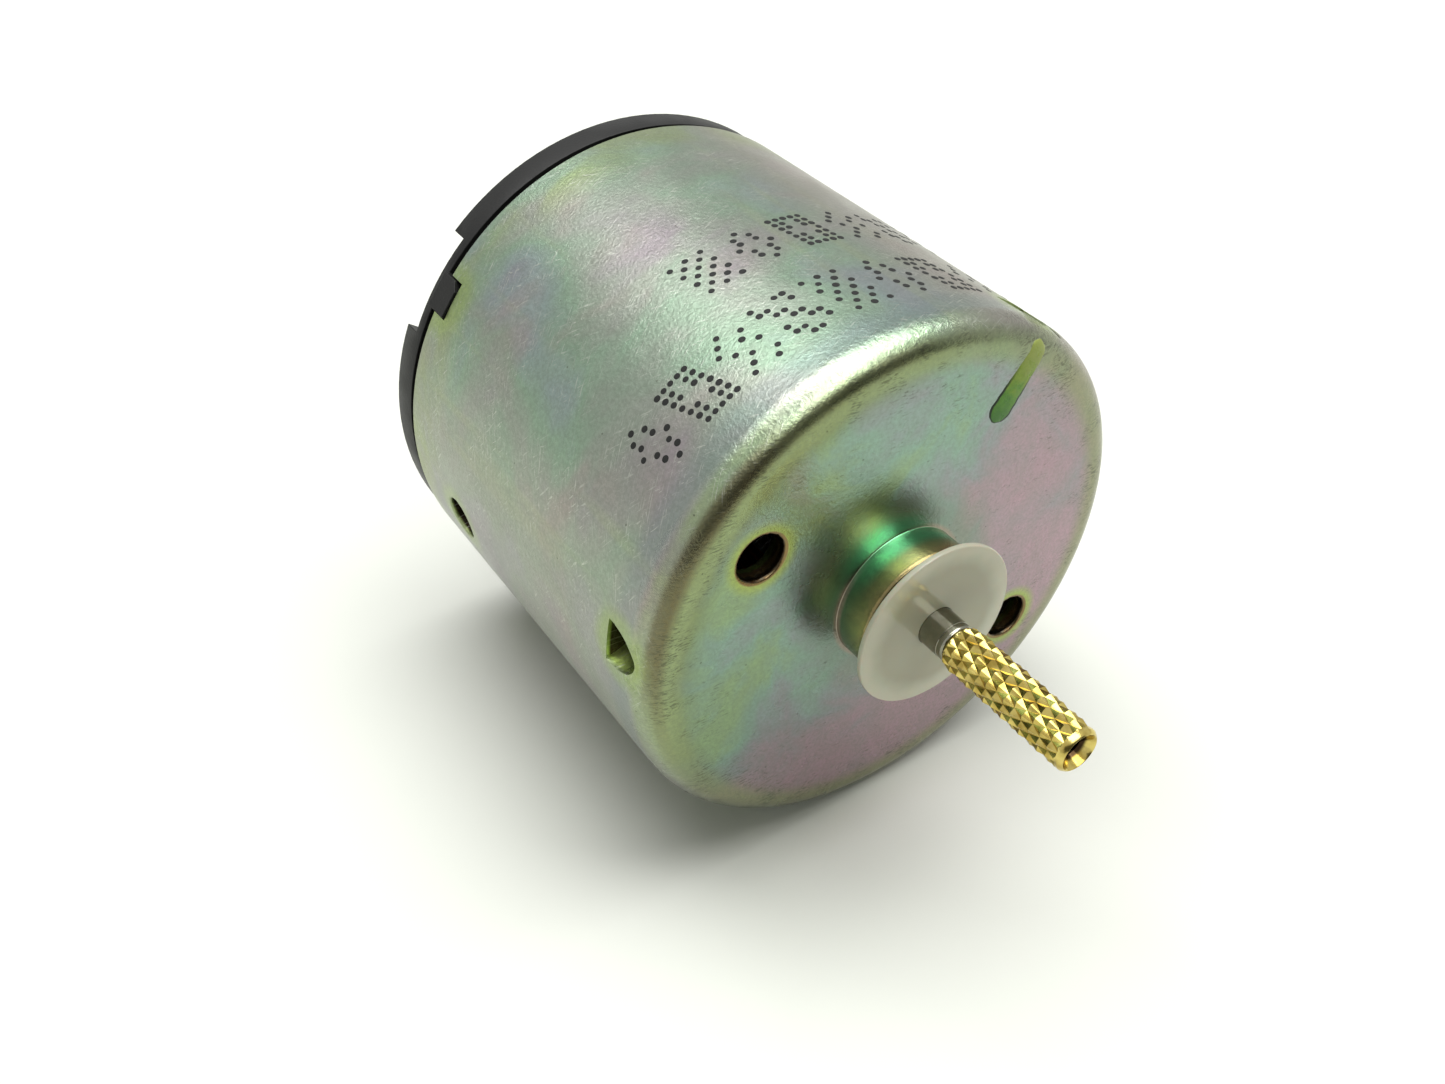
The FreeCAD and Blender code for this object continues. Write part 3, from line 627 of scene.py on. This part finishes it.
def board():
    """Insulating fibre board."""
    paint = Paint("insulator_board")
    fibre = paint.noise((0.4, 0.06, 0.4), 4, 0.7)
    colour = paint.mix(fibre, tint(150, 108, 66), tint(188, 150, 102))
    return paint.put(Base_Color=colour, Roughness=0.75, Normal=paint.bump(fibre, 0.01))


def ink():
    """Black printing ink, a little uneven."""
    paint = Paint("ink")
    grain = paint.noise(0.08, 3)
    colour = paint.mix(grain, tint(8, 9, 8), tint(22, 23, 21))
    return paint.put(Base_Color=colour, Roughness=paint.dulled(grain, 0.45, 0.65),
                     Specular_IOR_Level=0.3, Normal=paint.bump(grain, 0.004))


def marker_paint():
    """Green paint: darker at its inner end and edges, thin and yellowish where it has run out."""
    paint = Paint("marker_paint")
    outward = paint.off_axis()
    thick = paint.noise(0.5, 3)
    wandering = paint.math("ADD", outward, paint.fade(thick, 0.2, 0.8, -0.5, 0.5))
    colour = paint.ramp(paint.fade(wandering, STRIPE_START.length, STRIPE_END.length),
                        (0.0, 64, 120, 40), (0.3, 94, 144, 46), (0.6, 130, 156, 54), (1.0, 152, 164, 84))
    rim = paint.times(paint.fade(paint.split(paint.place)[0], 0.030, 0.016),
                      paint.fade(outward, 12.3, 10.5))
    return paint.put(Base_Color=paint.over(colour, (rim, 18, 36, 12)), Specular_IOR_Level=0.22,
                     Roughness=paint.dulled(thick, 0.26, 0.36), Normal=paint.bump(thick, 0.02))


PLATED = Plating().finished()
PLASTIC = black_plastic()
STEEL = turned_metal("shaft_steel", tint(148, 147, 132), tint(130, 128, 112), 0.14, 0.20,
                     groove=0.06, depth=0.001)
BRASS = turned_metal("brass_knurl", tint(212, 193, 112), tint(170, 146, 68), 0.13, 0.22,
                     groove=0.03, depth=0.001, hollow=0.70)
NYLON = white_nylon()
INK = ink()
MARKER = marker_paint()


# -------- can

def can_profile():
    """Pairs of (outer, inner) profile points from the boss's mouth to the rim."""
    pocket = BEARING_RADIUS + POCKET_GAP
    lip = BOSS_FRONT - BOSS_LIP
    pairs = [((BOSS_FRONT, r), (lip, BOSS_MOUTH + (pocket - BOSS_MOUTH) * share))
             for r, share in ((BOSS_MOUTH, 0.0), (2.4, 0.5), (BOSS_RADIUS - BOSS_EDGE, 1.0))]
    side = arc((BOSS_FRONT - BOSS_EDGE, BOSS_RADIUS - BOSS_EDGE), BOSS_EDGE, 80, 0, 7)
    side += [(along, BOSS_RADIUS) for along in (1.2, 0.7, 0.3, BOSS_ROOT)]
    side += arc((BOSS_ROOT, BOSS_RADIUS + BOSS_ROOT), BOSS_ROOT, 180, 270, 5)[1:]
    depths = spread(lip, -WALL, len(side) + 1)[1:]
    pairs += [(outer, (depth, pocket)) for outer, depth in zip(side, depths)]
    pairs += [((0.0, r), (-WALL, r)) for r in (
        4.2, 5.0, 6.0, 7.0, SCREW_CIRCLE - SCREW_PATCH, 8.9, SCREW_CIRCLE, 10.6,
        SCREW_CIRCLE + SCREW_PATCH, 12.0)]
    outside = arc((-FILLET, SKIN_RADIUS - FILLET), FILLET, 90, 0, 13)
    inside = arc((-WALL - INNER_FILLET, SKIN_RADIUS - WALL - INNER_FILLET), INNER_FILLET, 90, 0, 13)
    pairs += zip(outside, inside)
    lance_lines = spread(-FILLET, LANCE_REAR, 10)[1:]
    rear_lines = [-3.8, -5.0, -7.0, -9.0, -11.0, -13.0, -15.0,
                  REAR_HOLE_ALONG + REAR_PATCH, REAR_HOLE_ALONG + REAR_PATCH / 2, REAR_HOLE_ALONG,
                  REAR_HOLE_ALONG - REAR_PATCH / 2, REAR_HOLE_ALONG - REAR_PATCH, -21.0,
                  CAN_REAR + NOTCH_DEPTH, -22.6, CAN_REAR]
    for along in lance_lines + rear_lines:
        inner = min(along, -WALL - INNER_FILLET)
        pairs.append(((along, SKIN_RADIUS), (inner, SKIN_RADIUS - WALL)))
    return pairs


def can_angles():
    """Angles of the mesh's lengthwise lines: even ones, and finer ones at each feature."""
    screws, holes = ring_of(SCREW_ANGLE, 2), ring_of(REAR_HOLE_ANGLE, 2)
    lance = degrees(LANCE_WIDTH / 2 / CAN_RADIUS)
    edge = lance + degrees(LANCE_MARGIN / CAN_RADIUS)
    marks = sorted(mark % 360 for angles, reach, count in (
        (screws, NOTCH_REACH, 7), (screws, SCREW_REACH, 2), (holes, REAR_REACH, 9),
        (lance_angles(), lance, 17), (lance_angles(), edge, 2))
        for angle in angles for mark in spread(angle - reach, angle + reach, count))
    kept = []
    for mark in marks:
        if not kept or mark - kept[-1] > 0.05:
            kept.append(mark)
    for angle in ring_of(0, 180):
        if min(abs(apart(angle, mark)) for mark in kept) > 0.8:
            kept.append(angle)
    return sorted(kept)


def skin_radius(along):
    """The drawn shell's outer radius on the wall or the fillet."""
    if along <= -FILLET:
        return SKIN_RADIUS
    return SKIN_RADIUS - FILLET + sqrt(FILLET ** 2 - (along + FILLET) ** 2)


def fill_hole(surface, outer_loop, inner_loop, hole):
    """Faces from a gap's outer border through a rounded hole to its inner border.

    A hole is (radius, edge rounding, place, flat): 'flat' turns a point into the hole's own flat
    coordinates, and 'place' turns those and a depth back into a point.
    """
    radius, edge, place, flat = hole
    places = [flat(surface.points[index]) for index in outer_loop]
    turns = [atan2(b, a) for a, b in places]
    borders = [hypot(a, b) for a, b in places]
    rings = [([border * (1 - share) + (radius + edge) * share for border in borders], 0.0)
             for share in (0.35, 0.7, 0.9)]
    for angle in spread(0, 90, 6):
        turn = radians(angle)
        rings.append(([radius + edge * (1 - sin(turn))] * len(turns), edge * (1 - cos(turn))))
    rings.append(([radius] * len(turns), WALL))
    loops = [[surface.add(place(reach * cos(turn), reach * sin(turn), depth))
              for reach, turn in zip(reaches, turns)] for reaches, depth in rings]
    surface.bridge(outer_loop, *loops, inner_loop)


def screw_hole(angle):
    """A hole through the face."""
    turn = radians(angle)
    outward = Vector((0, cos(turn), sin(turn)))
    aside = Vector((0, -sin(turn), cos(turn)))

    def place(a, b, depth):
        return outward * (SCREW_CIRCLE + a) + aside * b - Vector((depth, 0, 0))

    def flat(point):
        return point.dot(outward) - SCREW_CIRCLE, point.dot(aside)

    return SCREW_HOLE, SCREW_EDGE, place, flat


def rear_hole(angle):
    """A hole through the wall."""
    def place(a, b, depth):
        return around(SKIN_RADIUS - depth, angle + degrees(b / SKIN_RADIUS), REAR_HOLE_ALONG + a)

    def flat(point):
        return point.x - REAR_HOLE_ALONG, off_line(point, angle) * SKIN_RADIUS

    return REAR_HOLE, REAR_EDGE, place, flat


def add_lance(skin, partner, surface, border, angle, ends):
    """A half-round tongue pressed inwards, slit along its straight rear edge.

    'border' is the gap's edge in the mesh, from one side of the slit's line round to the other,
    and 'ends' are the slit's two ends on that line.
    """
    def place(ahead, aside, press):
        along = LANCE_REAR + ahead
        turn = angle + degrees(aside / CAN_RADIUS)
        outer = surface.add(around(skin_radius(along) - press, turn, along))
        partner[outer] = surface.add(around(skin_radius(along) - press - WALL, turn, along))
        return outer

    rays = []
    for index in border:
        point = surface.points[index]
        aside = off_line(point, angle) * CAN_RADIUS
        rays.append(atan2(aside / (LANCE_WIDTH / 2), (point.x - LANCE_REAR) / LANCE_LENGTH))
    previous = border
    for share in (1.0, 0.975, 0.94, 0.88, 0.8, 0.7, 0.56, 0.4, 0.2):
        row = []
        for ray in rays:
            gentle = (1 + sin(ray)) / 2
            press = LANCE_DEPTH * (1 - share ** (2.4 - 1.2 * gentle)) ** (0.62 + 0.30 * gentle)
            row.append(place(LANCE_LENGTH * share * cos(ray),
                             LANCE_WIDTH / 2 * share * sin(ray), press))
        if share == 1.0:
            row[0], row[-1] = ends
        skin += zip(previous, previous[1:], row[1:], row)
        previous = row
    centre = place(0.0, 0.0, LANCE_DEPTH)
    skin += [(first, second, centre) for first, second in zip(previous, previous[1:])]


class Sheet:
    """The shell's mesh lines: which line lies at an angle, and which row at a place."""

    def __init__(self, profile, angles):
        self.profile, self.angles = profile, angles

    def line(self, angle):
        """The line nearest to an angle."""
        return min(range(len(self.angles)), key=lambda step: abs(apart(self.angles[step], angle)))

    def row(self, along, radius):
        """The row whose outer point is nearest, counting steps along and outwards alike."""
        return min(range(len(self.profile)), key=lambda row: abs(self.profile[row][0][0] - along)
                   + abs(self.profile[row][0][1] - radius))

    def wall_row(self, along):
        """The row nearest to a place along the wall."""
        return self.row(along, SKIN_RADIUS)

    def lines(self, angle, reach):
        """The lines from 'reach' degrees before an angle to as many after it."""
        lines, last = [self.line(angle - reach)], self.line(angle + reach)
        while lines[-1] != last:
            lines.append((lines[-1] + 1) % len(self.angles))
        return lines


def border_of(lines, low, high):
    """(line, row) corners round a gap, starting at its first line and low row."""
    there = [(line, low) for line in lines] + [(lines[-1], row) for row in range(low + 1, high + 1)]
    back = [(line, high) for line in reversed(lines[:-1])]
    return there + back + [(lines[0], row) for row in range(high - 1, low, -1)]


def make_can():
    """The drawn shell: boss, face, fillet and wall with their holes, lances and rim notches."""
    surface, skin, partner = Surface(), [], {}
    sheet = Sheet(can_profile(), can_angles())
    outer = []
    for angle in sheet.angles:
        line = []
        for (along, radius), (inner_along, inner_radius) in sheet.profile:
            line.append(surface.add(around(radius, angle, along)))
            partner[line[-1]] = surface.add(around(inner_radius, angle, inner_along))
        outer.append(line)
    last_row = len(sheet.profile) - 1
    lance_reach = degrees((LANCE_WIDTH / 2 + LANCE_MARGIN) / CAN_RADIUS)
    notches = [(sheet.lines(angle, NOTCH_REACH), sheet.wall_row(CAN_REAR + NOTCH_DEPTH), last_row)
               for angle in ring_of(SCREW_ANGLE, 2)]
    holes = [(sheet.lines(angle, SCREW_REACH), sheet.row(0.0, SCREW_CIRCLE - SCREW_PATCH),
              sheet.row(0.0, SCREW_CIRCLE + SCREW_PATCH), screw_hole(angle))
             for angle in ring_of(SCREW_ANGLE, 2)]
    holes += [(sheet.lines(angle, REAR_REACH), sheet.wall_row(REAR_HOLE_ALONG + REAR_PATCH),
               sheet.wall_row(REAR_HOLE_ALONG - REAR_PATCH), rear_hole(angle))
              for angle in ring_of(REAR_HOLE_ANGLE, 2)]
    lances = [(sheet.lines(angle, lance_reach), sheet.wall_row(LANCE_FRONT_ROW),
               sheet.wall_row(LANCE_REAR), angle) for angle in lance_angles()]
    open_cells = set()
    for lines, low, high, *_ in notches + holes + lances:
        open_cells |= {(line, row) for line in lines[:-1] for row in range(low, high)}
    for line, here in enumerate(outer):
        after = outer[(line + 1) % len(outer)]
        for row in range(last_row):
            if (line, row) not in open_cells:
                skin.append((here[row], after[row], after[row + 1], here[row + 1]))
    for lines, low, high, angle in lances:
        loop = border_of(lines, low, high)
        slit = loop.index((lines[0], high))
        border = [outer[line][row] for line, row in loop[slit:] + loop[:len(lines) + high - low]]
        ends = [outer[lines[1]][high], outer[lines[-2]][high]]
        add_lance(skin, partner, surface, border, angle, ends)
    closed = set()
    for lines, low, high, hole in holes:
        loop = [outer[line][row] for line, row in border_of(lines, low, high)]
        fill_hole(surface, loop, [partner[index] for index in loop], hole)
        closed |= {frozenset((loop[step - 1], loop[step])) for step in range(len(loop))}
    close_skin(surface, skin, partner, closed)
    surface.piece("can_shell", "stator", PLATED, "plated_can", ["can"], 40.0)


def close_skin(surface, skin, partner, closed):
    """Adds the skin, the same faces on its inner side, and walls along its open edges."""
    edges = {}
    for corners in skin:
        surface.face(*corners)
        surface.face(*reversed([partner[index] for index in corners]))
        for step in range(len(corners)):
            start, end = corners[step - 1], corners[step]
            if start != end:
                edges.setdefault(frozenset((start, end)), []).append((start, end))
    for edge, sides in edges.items():
        if len(sides) == 1 and edge not in closed:
            start, end = sides[0]
            surface.face(end, start, partner[start], partner[end])


# -------- knurled sleeve, shaft, washer

def knurl_height(across, along_steps):
    """Height lost, 0 to 1, at a place on the lattice of two crossing groove families."""
    return max(abs(2 * (steps / (2 * KNURL_STEPS) % 1.0) - 1)
               for steps in (across - along_steps, across + along_steps))


def make_sleeve():
    """Brass sleeve: crossed V grooves, chamfered ends, countersunk bore."""
    radius = SLEEVE_HIGH.z
    pitch = 2 * pi * radius / (KNURL_STARTS * tan(radians(KNURL_HELIX)))
    step_along = pitch / (2 * KNURL_STEPS)
    start, end = SLEEVE_LOW.x, SLEEVE_HIGH.x
    count = 2 * KNURL_STARTS * KNURL_STEPS
    rows = int((end - SLEEVE_PLAIN - start) / step_along)
    surface = Surface()
    loops = []
    for row in range(rows + 1):
        along = start + row * step_along
        limit = radius - max(0.0, SLEEVE_CHAMFER - (along - start))
        loop = []
        for column, angle in enumerate(ring_of(0, count)):
            height = radius - KNURL_DEPTH * knurl_height(column, row)
            loop.append(surface.add(around(min(height, limit), angle, along)))
        loops.append(loop)
    for row in range(rows):
        for column in range(count):
            a, b = loops[row][column - 1], loops[row][column]
            c, d = loops[row + 1][column], loops[row + 1][column - 1]
            if (column + row) % KNURL_STEPS == 0:
                surface.face(a, b, d)
                surface.face(b, c, d)
            else:
                surface.face(a, b, c)
                surface.face(a, c, d)
    ring = radius - 0.05
    tip = [(end - SLEEVE_PLAIN, ring), (end - 0.2, ring), (end - 0.06, ring - 0.08),
           (end, ring - 0.15), (end, 0.95), (end - 0.02, 0.93)]
    tip += [(end - 0.02 - share * 0.5, 0.93 - share * 0.27) for share in (0.25, 0.5, 0.75, 1.0)]
    tip += [(along, SLEEVE_BORE) for along in (end - 0.56, end - 1.0, SHAFT_HIGH.x)]
    tip += [(SHAFT_HIGH.x - 0.1, SPIGOT_RADIUS), (start, SPIGOT_RADIUS), (start, 0.9)]
    surface.bridge(loops[-1], *[surface.ring(r, along, count) for along, r in tip], loops[0])
    surface.piece("knurled_brass_sleeve", "rotor", BRASS, "brass_knurl", ["knurled_sleeve"], 20.0)


def make_shaft():
    """Ground shaft with a polished rounded shoulder, a spigot in the sleeve and a rear end."""
    radius, shoulder, edge = SHAFT_RADIUS, SHOULDER, SHOULDER_EDGE
    profile = [(SHAFT_LOW.x, 0.0), (SHAFT_LOW.x, 0.7)]
    profile += arc((SHAFT_LOW.x + 0.25, 0.75), 0.25, -80, 0, 6)
    profile += [(along, radius) for along in spread(-22, 3.7, 8)]
    profile += [(shoulder - 0.42, radius), (shoulder - 0.40, radius - 0.02)]
    profile += arc((shoulder - edge, radius - edge - 0.01), edge, 0, 80, 7)
    profile += [(shoulder, SPIGOT_RADIUS), (SHAFT_HIGH.x - 0.1, SPIGOT_RADIUS),
                (SHAFT_HIGH.x, 0.5), (SHAFT_HIGH.x, 0.0)]
    lathe(profile, 96).piece("motor_shaft", "rotor", STEEL, "shaft_steel", ["shaft"], 30.0)


def make_washer():
    """Thin disc with rounded edges in front of the boss."""
    rear, front = WASHER_LOW.x, WASHER_HIGH.x
    outer, bore, edge = WASHER_HIGH.z, WASHER_BORE, WASHER_EDGE
    profile = [(front, bore + 0.02), (front, outer / 2)]
    profile += arc((front - edge, outer - edge), edge, 90, 0, 5)
    profile += arc((rear + edge, outer - edge), edge, 0, -90, 5)
    profile += [(rear, outer / 2), (rear, bore + edge), (rear + edge, bore), (front - 0.02, bore)]
    lathe(profile, 128).piece("thrust_disc", "rotor", NYLON, "white_nylon", ["front_washer"], 30.0)


# -------- print and paint

def ink_patch(surface, middle_angle, middle_along, radius):
    """One round dot of ink lying on the wall."""
    loops = []
    for lift, share in ((-0.004, 1.0), (0.005, 1.0), (0.008, 0.7)):
        loop = []
        for turn in spread(0, 2 * pi, 13)[:-1]:
            aside = degrees(radius * share * sin(turn) / SKIN_RADIUS)
            loop.append(surface.add(around(SKIN_RADIUS + lift, middle_angle + aside,
                                           middle_along + radius * share * cos(turn))))
        loops.append(loop)
    surface.bridge(*loops)
    surface.face(*loops[-1])
    surface.face(*reversed(loops[0]))


def inked(motif, column, dot):
    """Whether a pattern of five columns and seven rows has ink at a place."""
    ring = abs(column - 2) / 2 + abs(dot - 3) / 3
    patterns = (ring > 0.8 > abs(column - 2) / 2.6, (column + dot) % 2 == 0,
                abs(dot % 4 - 2) == column % 3, 0.7 < ring < 1.2, (dot - column) % 4 in (0, 1))
    return patterns[motif % len(patterns)]


def make_ink():
    """Two rows of geometric dot patterns, which say nothing, where the maker's print was."""
    chance = random.Random(7)
    surface = Surface()
    for rear, front, first_angle, groups, lean, motif in INK_ROWS:
        along = [share * CAN_RADIUS for share in spread(rear + 0.01, front - 0.01, 7)]
        for group in range(groups):
            for column in range(5):
                first = first_angle - group * INK_GROUP_PITCH - column * INK_COLUMN_PITCH
                for dot, place in enumerate(along):
                    angle = first - lean * dot
                    clear = (place < LANCE_REAR - 0.5
                             or min(abs(apart(lance, angle)) for lance in lance_angles()) > 8)
                    if clear and inked(group * 2 + motif, column, dot):
                        ink_patch(surface, angle, place, INK_DOT + chance.uniform(-0.015, 0.012))
    surface.piece("printed_dots", "stator", INK, "black_plastic")


def face_profile(radius):
    """(along, outward slope) on the front face or its fillet at a radius."""
    flat_end = SKIN_RADIUS - FILLET
    if radius <= flat_end:
        return 0.0, 0.0
    turn = asin(min(1.0, (radius - flat_end) / FILLET))
    return -FILLET * (1 - cos(turn)), turn


def make_paint_stripe():
    """A dab of green marker paint from the face's edge inwards, broad and round at its inner end."""
    reach = STRIPE_END - STRIPE_START
    ahead = reach.normalized()
    aside = Vector((0, -ahead.z, ahead.y))
    chance = random.Random(3)
    surface = Surface()
    rows = spread(0.0, reach.length, 26)
    columns = 9
    loops = []
    for row, distance in enumerate(rows):
        width = STRIPE_WIDTH + (STRIPE_OUTER_WIDTH - STRIPE_WIDTH) * row / (len(rows) - 1)
        round_in = min(1.0, distance / (width * 0.5))
        round_out = min(1.0, (reach.length - distance) / (width * 0.3))
        share = prod(sqrt(max(0.02, 1 - (1 - end) ** 2)) for end in (round_in, round_out))
        half = width / 2 * share * (1 + chance.uniform(-0.03, 0.03))
        line, low = [], []
        for column in spread(-1, 1, columns):
            flat = STRIPE_START + ahead * distance + aside * (column * half)
            along, slope = face_profile(flat.length)
            outward = flat.normalized()
            base = outward * flat.length + Vector((along, 0, 0))
            normal = Vector((cos(slope), 0, 0)) + outward * sin(slope)
            lift = 0.012 + 0.04 * (1 - column * column) * share
            line.append(surface.add(base + normal * (lift if abs(column) < 1 else 0.0)))
            low.append(surface.add(base - normal * 0.02))
        loops.append(line + low[::-1])
    surface.bridge(*loops)
    for loop in (loops[0], loops[-1]):
        for column in range(columns - 1):
            surface.face(loop[column], loop[column + 1], loop[-2 - column], loop[-1 - column])
    surface.piece("paint_stripe", "stator", MARKER, "plated_can", sharp=60.0)


# -------- parts kept from the CAD

def soften(node, width):
    """Rounds a carried-over node's edges with modifiers, which leave its own mesh alone."""
    weld = node.modifiers.new("weld", "WELD")
    weld.merge_threshold = 1e-6
    bevel = node.modifiers.new("bevel", "BEVEL")
    bevel.width = width * MM
    bevel.segments = 3
    bevel.limit_method = "ANGLE"
    bevel.angle_limit = radians(40)
    bevel.harden_normals = True


def finish_nodes():
    """Gives every carried-over CAD node its procedural material."""
    bronze = sintered("bronze_bearing", tint(196, 160, 110), tint(120, 88, 52), 0.9, 0.42, 0.1, 0.01)
    fibre = board()
    looks = {
        "endcap": PLASTIC, "front_spacer": STEEL, "rotor_core": lamination_steel(),
        "front_bearing": bronze, "rear_bearing": bronze, "coil": enamelled_wire(),
        "front_thrust_washer": NYLON, "rear_thrust_washer": NYLON,
        "front_insulator": fibre, "rear_insulator": fibre,
        "magnet": sintered("ferrite", tint(74, 72, 72), tint(40, 38, 40), 0.0, 0.6, 0.12, 0.012),
        "brush": sintered("carbon", tint(60, 58, 58), tint(22, 22, 24), 0.2, 0.5, 0.08, 0.01),
        "ring_varistor": sintered("varistor_ceramic", tint(92, 88, 84), tint(46, 44, 44),
                                  0.0, 0.55, 0.1, 0.01),
        "commutator_hub": sintered("phenolic", tint(70, 40, 26), tint(44, 24, 16), 0.0, 0.4, 0.2, 0.006),
        "segment": turned_metal("copper", tint(232, 150, 112), tint(196, 110, 76), 0.2, 0.34),
        "magnet_clip": turned_metal("spring_steel", tint(190, 188, 184), tint(150, 146, 140), 0.25, 0.4),
        "brush_arm": turned_metal("phosphor_bronze", tint(216, 176, 120), tint(178, 136, 84), 0.22, 0.36),
        "terminal": turned_metal("tinned_brass", tint(226, 222, 206), tint(196, 186, 156), 0.2, 0.36),
    }
    for name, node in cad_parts.items():
        if not node.hide_render:
            node.data.materials.clear()
            node.data.materials.append(looks[name.rstrip("0123456789").rstrip("_")])
    soften(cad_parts["endcap"], 0.12)


# -------- stage, light and camera

def flat_sheet(name, size, level, light, dark, spots, roughness):
    """A mottled sheet of stage, square to Z: size and level in metres, spots in millimetres."""
    paint = Paint(name)
    mottle = paint.noise(spots, 2)
    mesh = bpy.data.meshes.new(name)
    w, h = size[0] / 2, size[1] / 2
    mesh.from_pydata([(-w, -h, level), (w, -h, level), (w, h, level), (-w, h, level)], [], [(0, 1, 2, 3)])
    mesh.materials.append(paint.put(Base_Color=paint.mix(mottle, light, dark), Roughness=roughness))
    return shown(name, mesh)


def make_floor():
    """A broad pale sheet that the can rests on."""
    floor = flat_sheet("floor", (4.0, 4.0), -CAN_RADIUS * MM, tint(237, 240, 230), tint(243, 245, 237),
                       40, 0.8)


def aimed(thing, direction, distance):
    """Puts a light or card at a distance from the frame's origin, facing it, unseen by the camera."""
    thing.location = Vector(direction).normalized() * distance
    thing.rotation_euler = (-thing.location).to_track_quat("-Z", "Y").to_euler()
    thing.visible_camera = False


def soft_light(name, direction, distance, size, power, only_reflected=False):
    """A rectangular light in metres and watts; one may show in reflections alone."""
    data = bpy.data.lights.new(name, "AREA")
    data.shape, data.energy, (data.size, data.size_y) = "RECTANGLE", power, size
    light = shown(name, data)
    light.visible_diffuse = not only_reflected
    aimed(light, direction, distance)


def dark_card(name, direction, distance, size, grey):
    """A dark sheet outside the picture, for the plating and the boss to reflect."""
    card = flat_sheet(name, size, 0.0, (grey, grey, grey * 0.9, 1), (grey * 1.2, grey * 1.2, grey, 1),
                      30, 0.9)
    aimed(card, direction, distance)


def make_lights():
    """A pale studio: its walls show in the metal more brightly than they light the floor."""
    world = bpy.data.worlds.new("studio")
    bpy.context.scene.world = world
    sky = Nodes(world)
    level = STUDIO_LIGHT
    for rays, more in (("Is Glossy Ray", STUDIO_REFLECTED - STUDIO_LIGHT),
                       ("Is Camera Ray", 1.0 - STUDIO_LIGHT)):
        seen = sky.node("ShaderNodeLightPath", (), rays)
        level = sky.node("ShaderNodeMath", (seen, more, level), operation="MULTIPLY_ADD")
    background = sky.tree.nodes["Background"]
    sky.join((1.0, 1.0, 0.985, 1), background.inputs["Color"])
    sky.join(level, background.inputs["Strength"])
    soft_light("ceiling", direction=(-0.12, 0.14, 1.0), distance=0.6, size=(0.86, 0.42), power=5.6)
    soft_light("front_top", direction=(0.60, 0.06, 0.79), distance=0.55, size=(0.38, 0.27), power=1.6,
               only_reflected=True)
    dark_card("photographer", direction=(1.0, -0.05, 0.22), distance=0.40, size=(0.80, 0.29), grey=0.07)


def make_camera():
    """The photo's viewing angle."""
    data = bpy.data.cameras.new("camera")
    data.sensor_width, data.lens = 36.0, FOCAL_LENGTH
    data.clip_start, data.clip_end = 0.002, 10.0
    camera = shown("camera", data)
    camera.location = Vector(CAMERA_PLACE) * (CAN_RADIUS * MM)
    camera.rotation_euler = Vector(CAMERA_AIM).to_track_quat("-Z", "Y").to_euler()
    bpy.context.scene.camera = camera
    bpy.context.scene.view_settings.view_transform = "Standard"


make_can()
make_sleeve()
make_shaft()
make_washer()
make_ink()
make_paint_stripe()
finish_nodes()
make_floor()
make_lights()
make_camera()
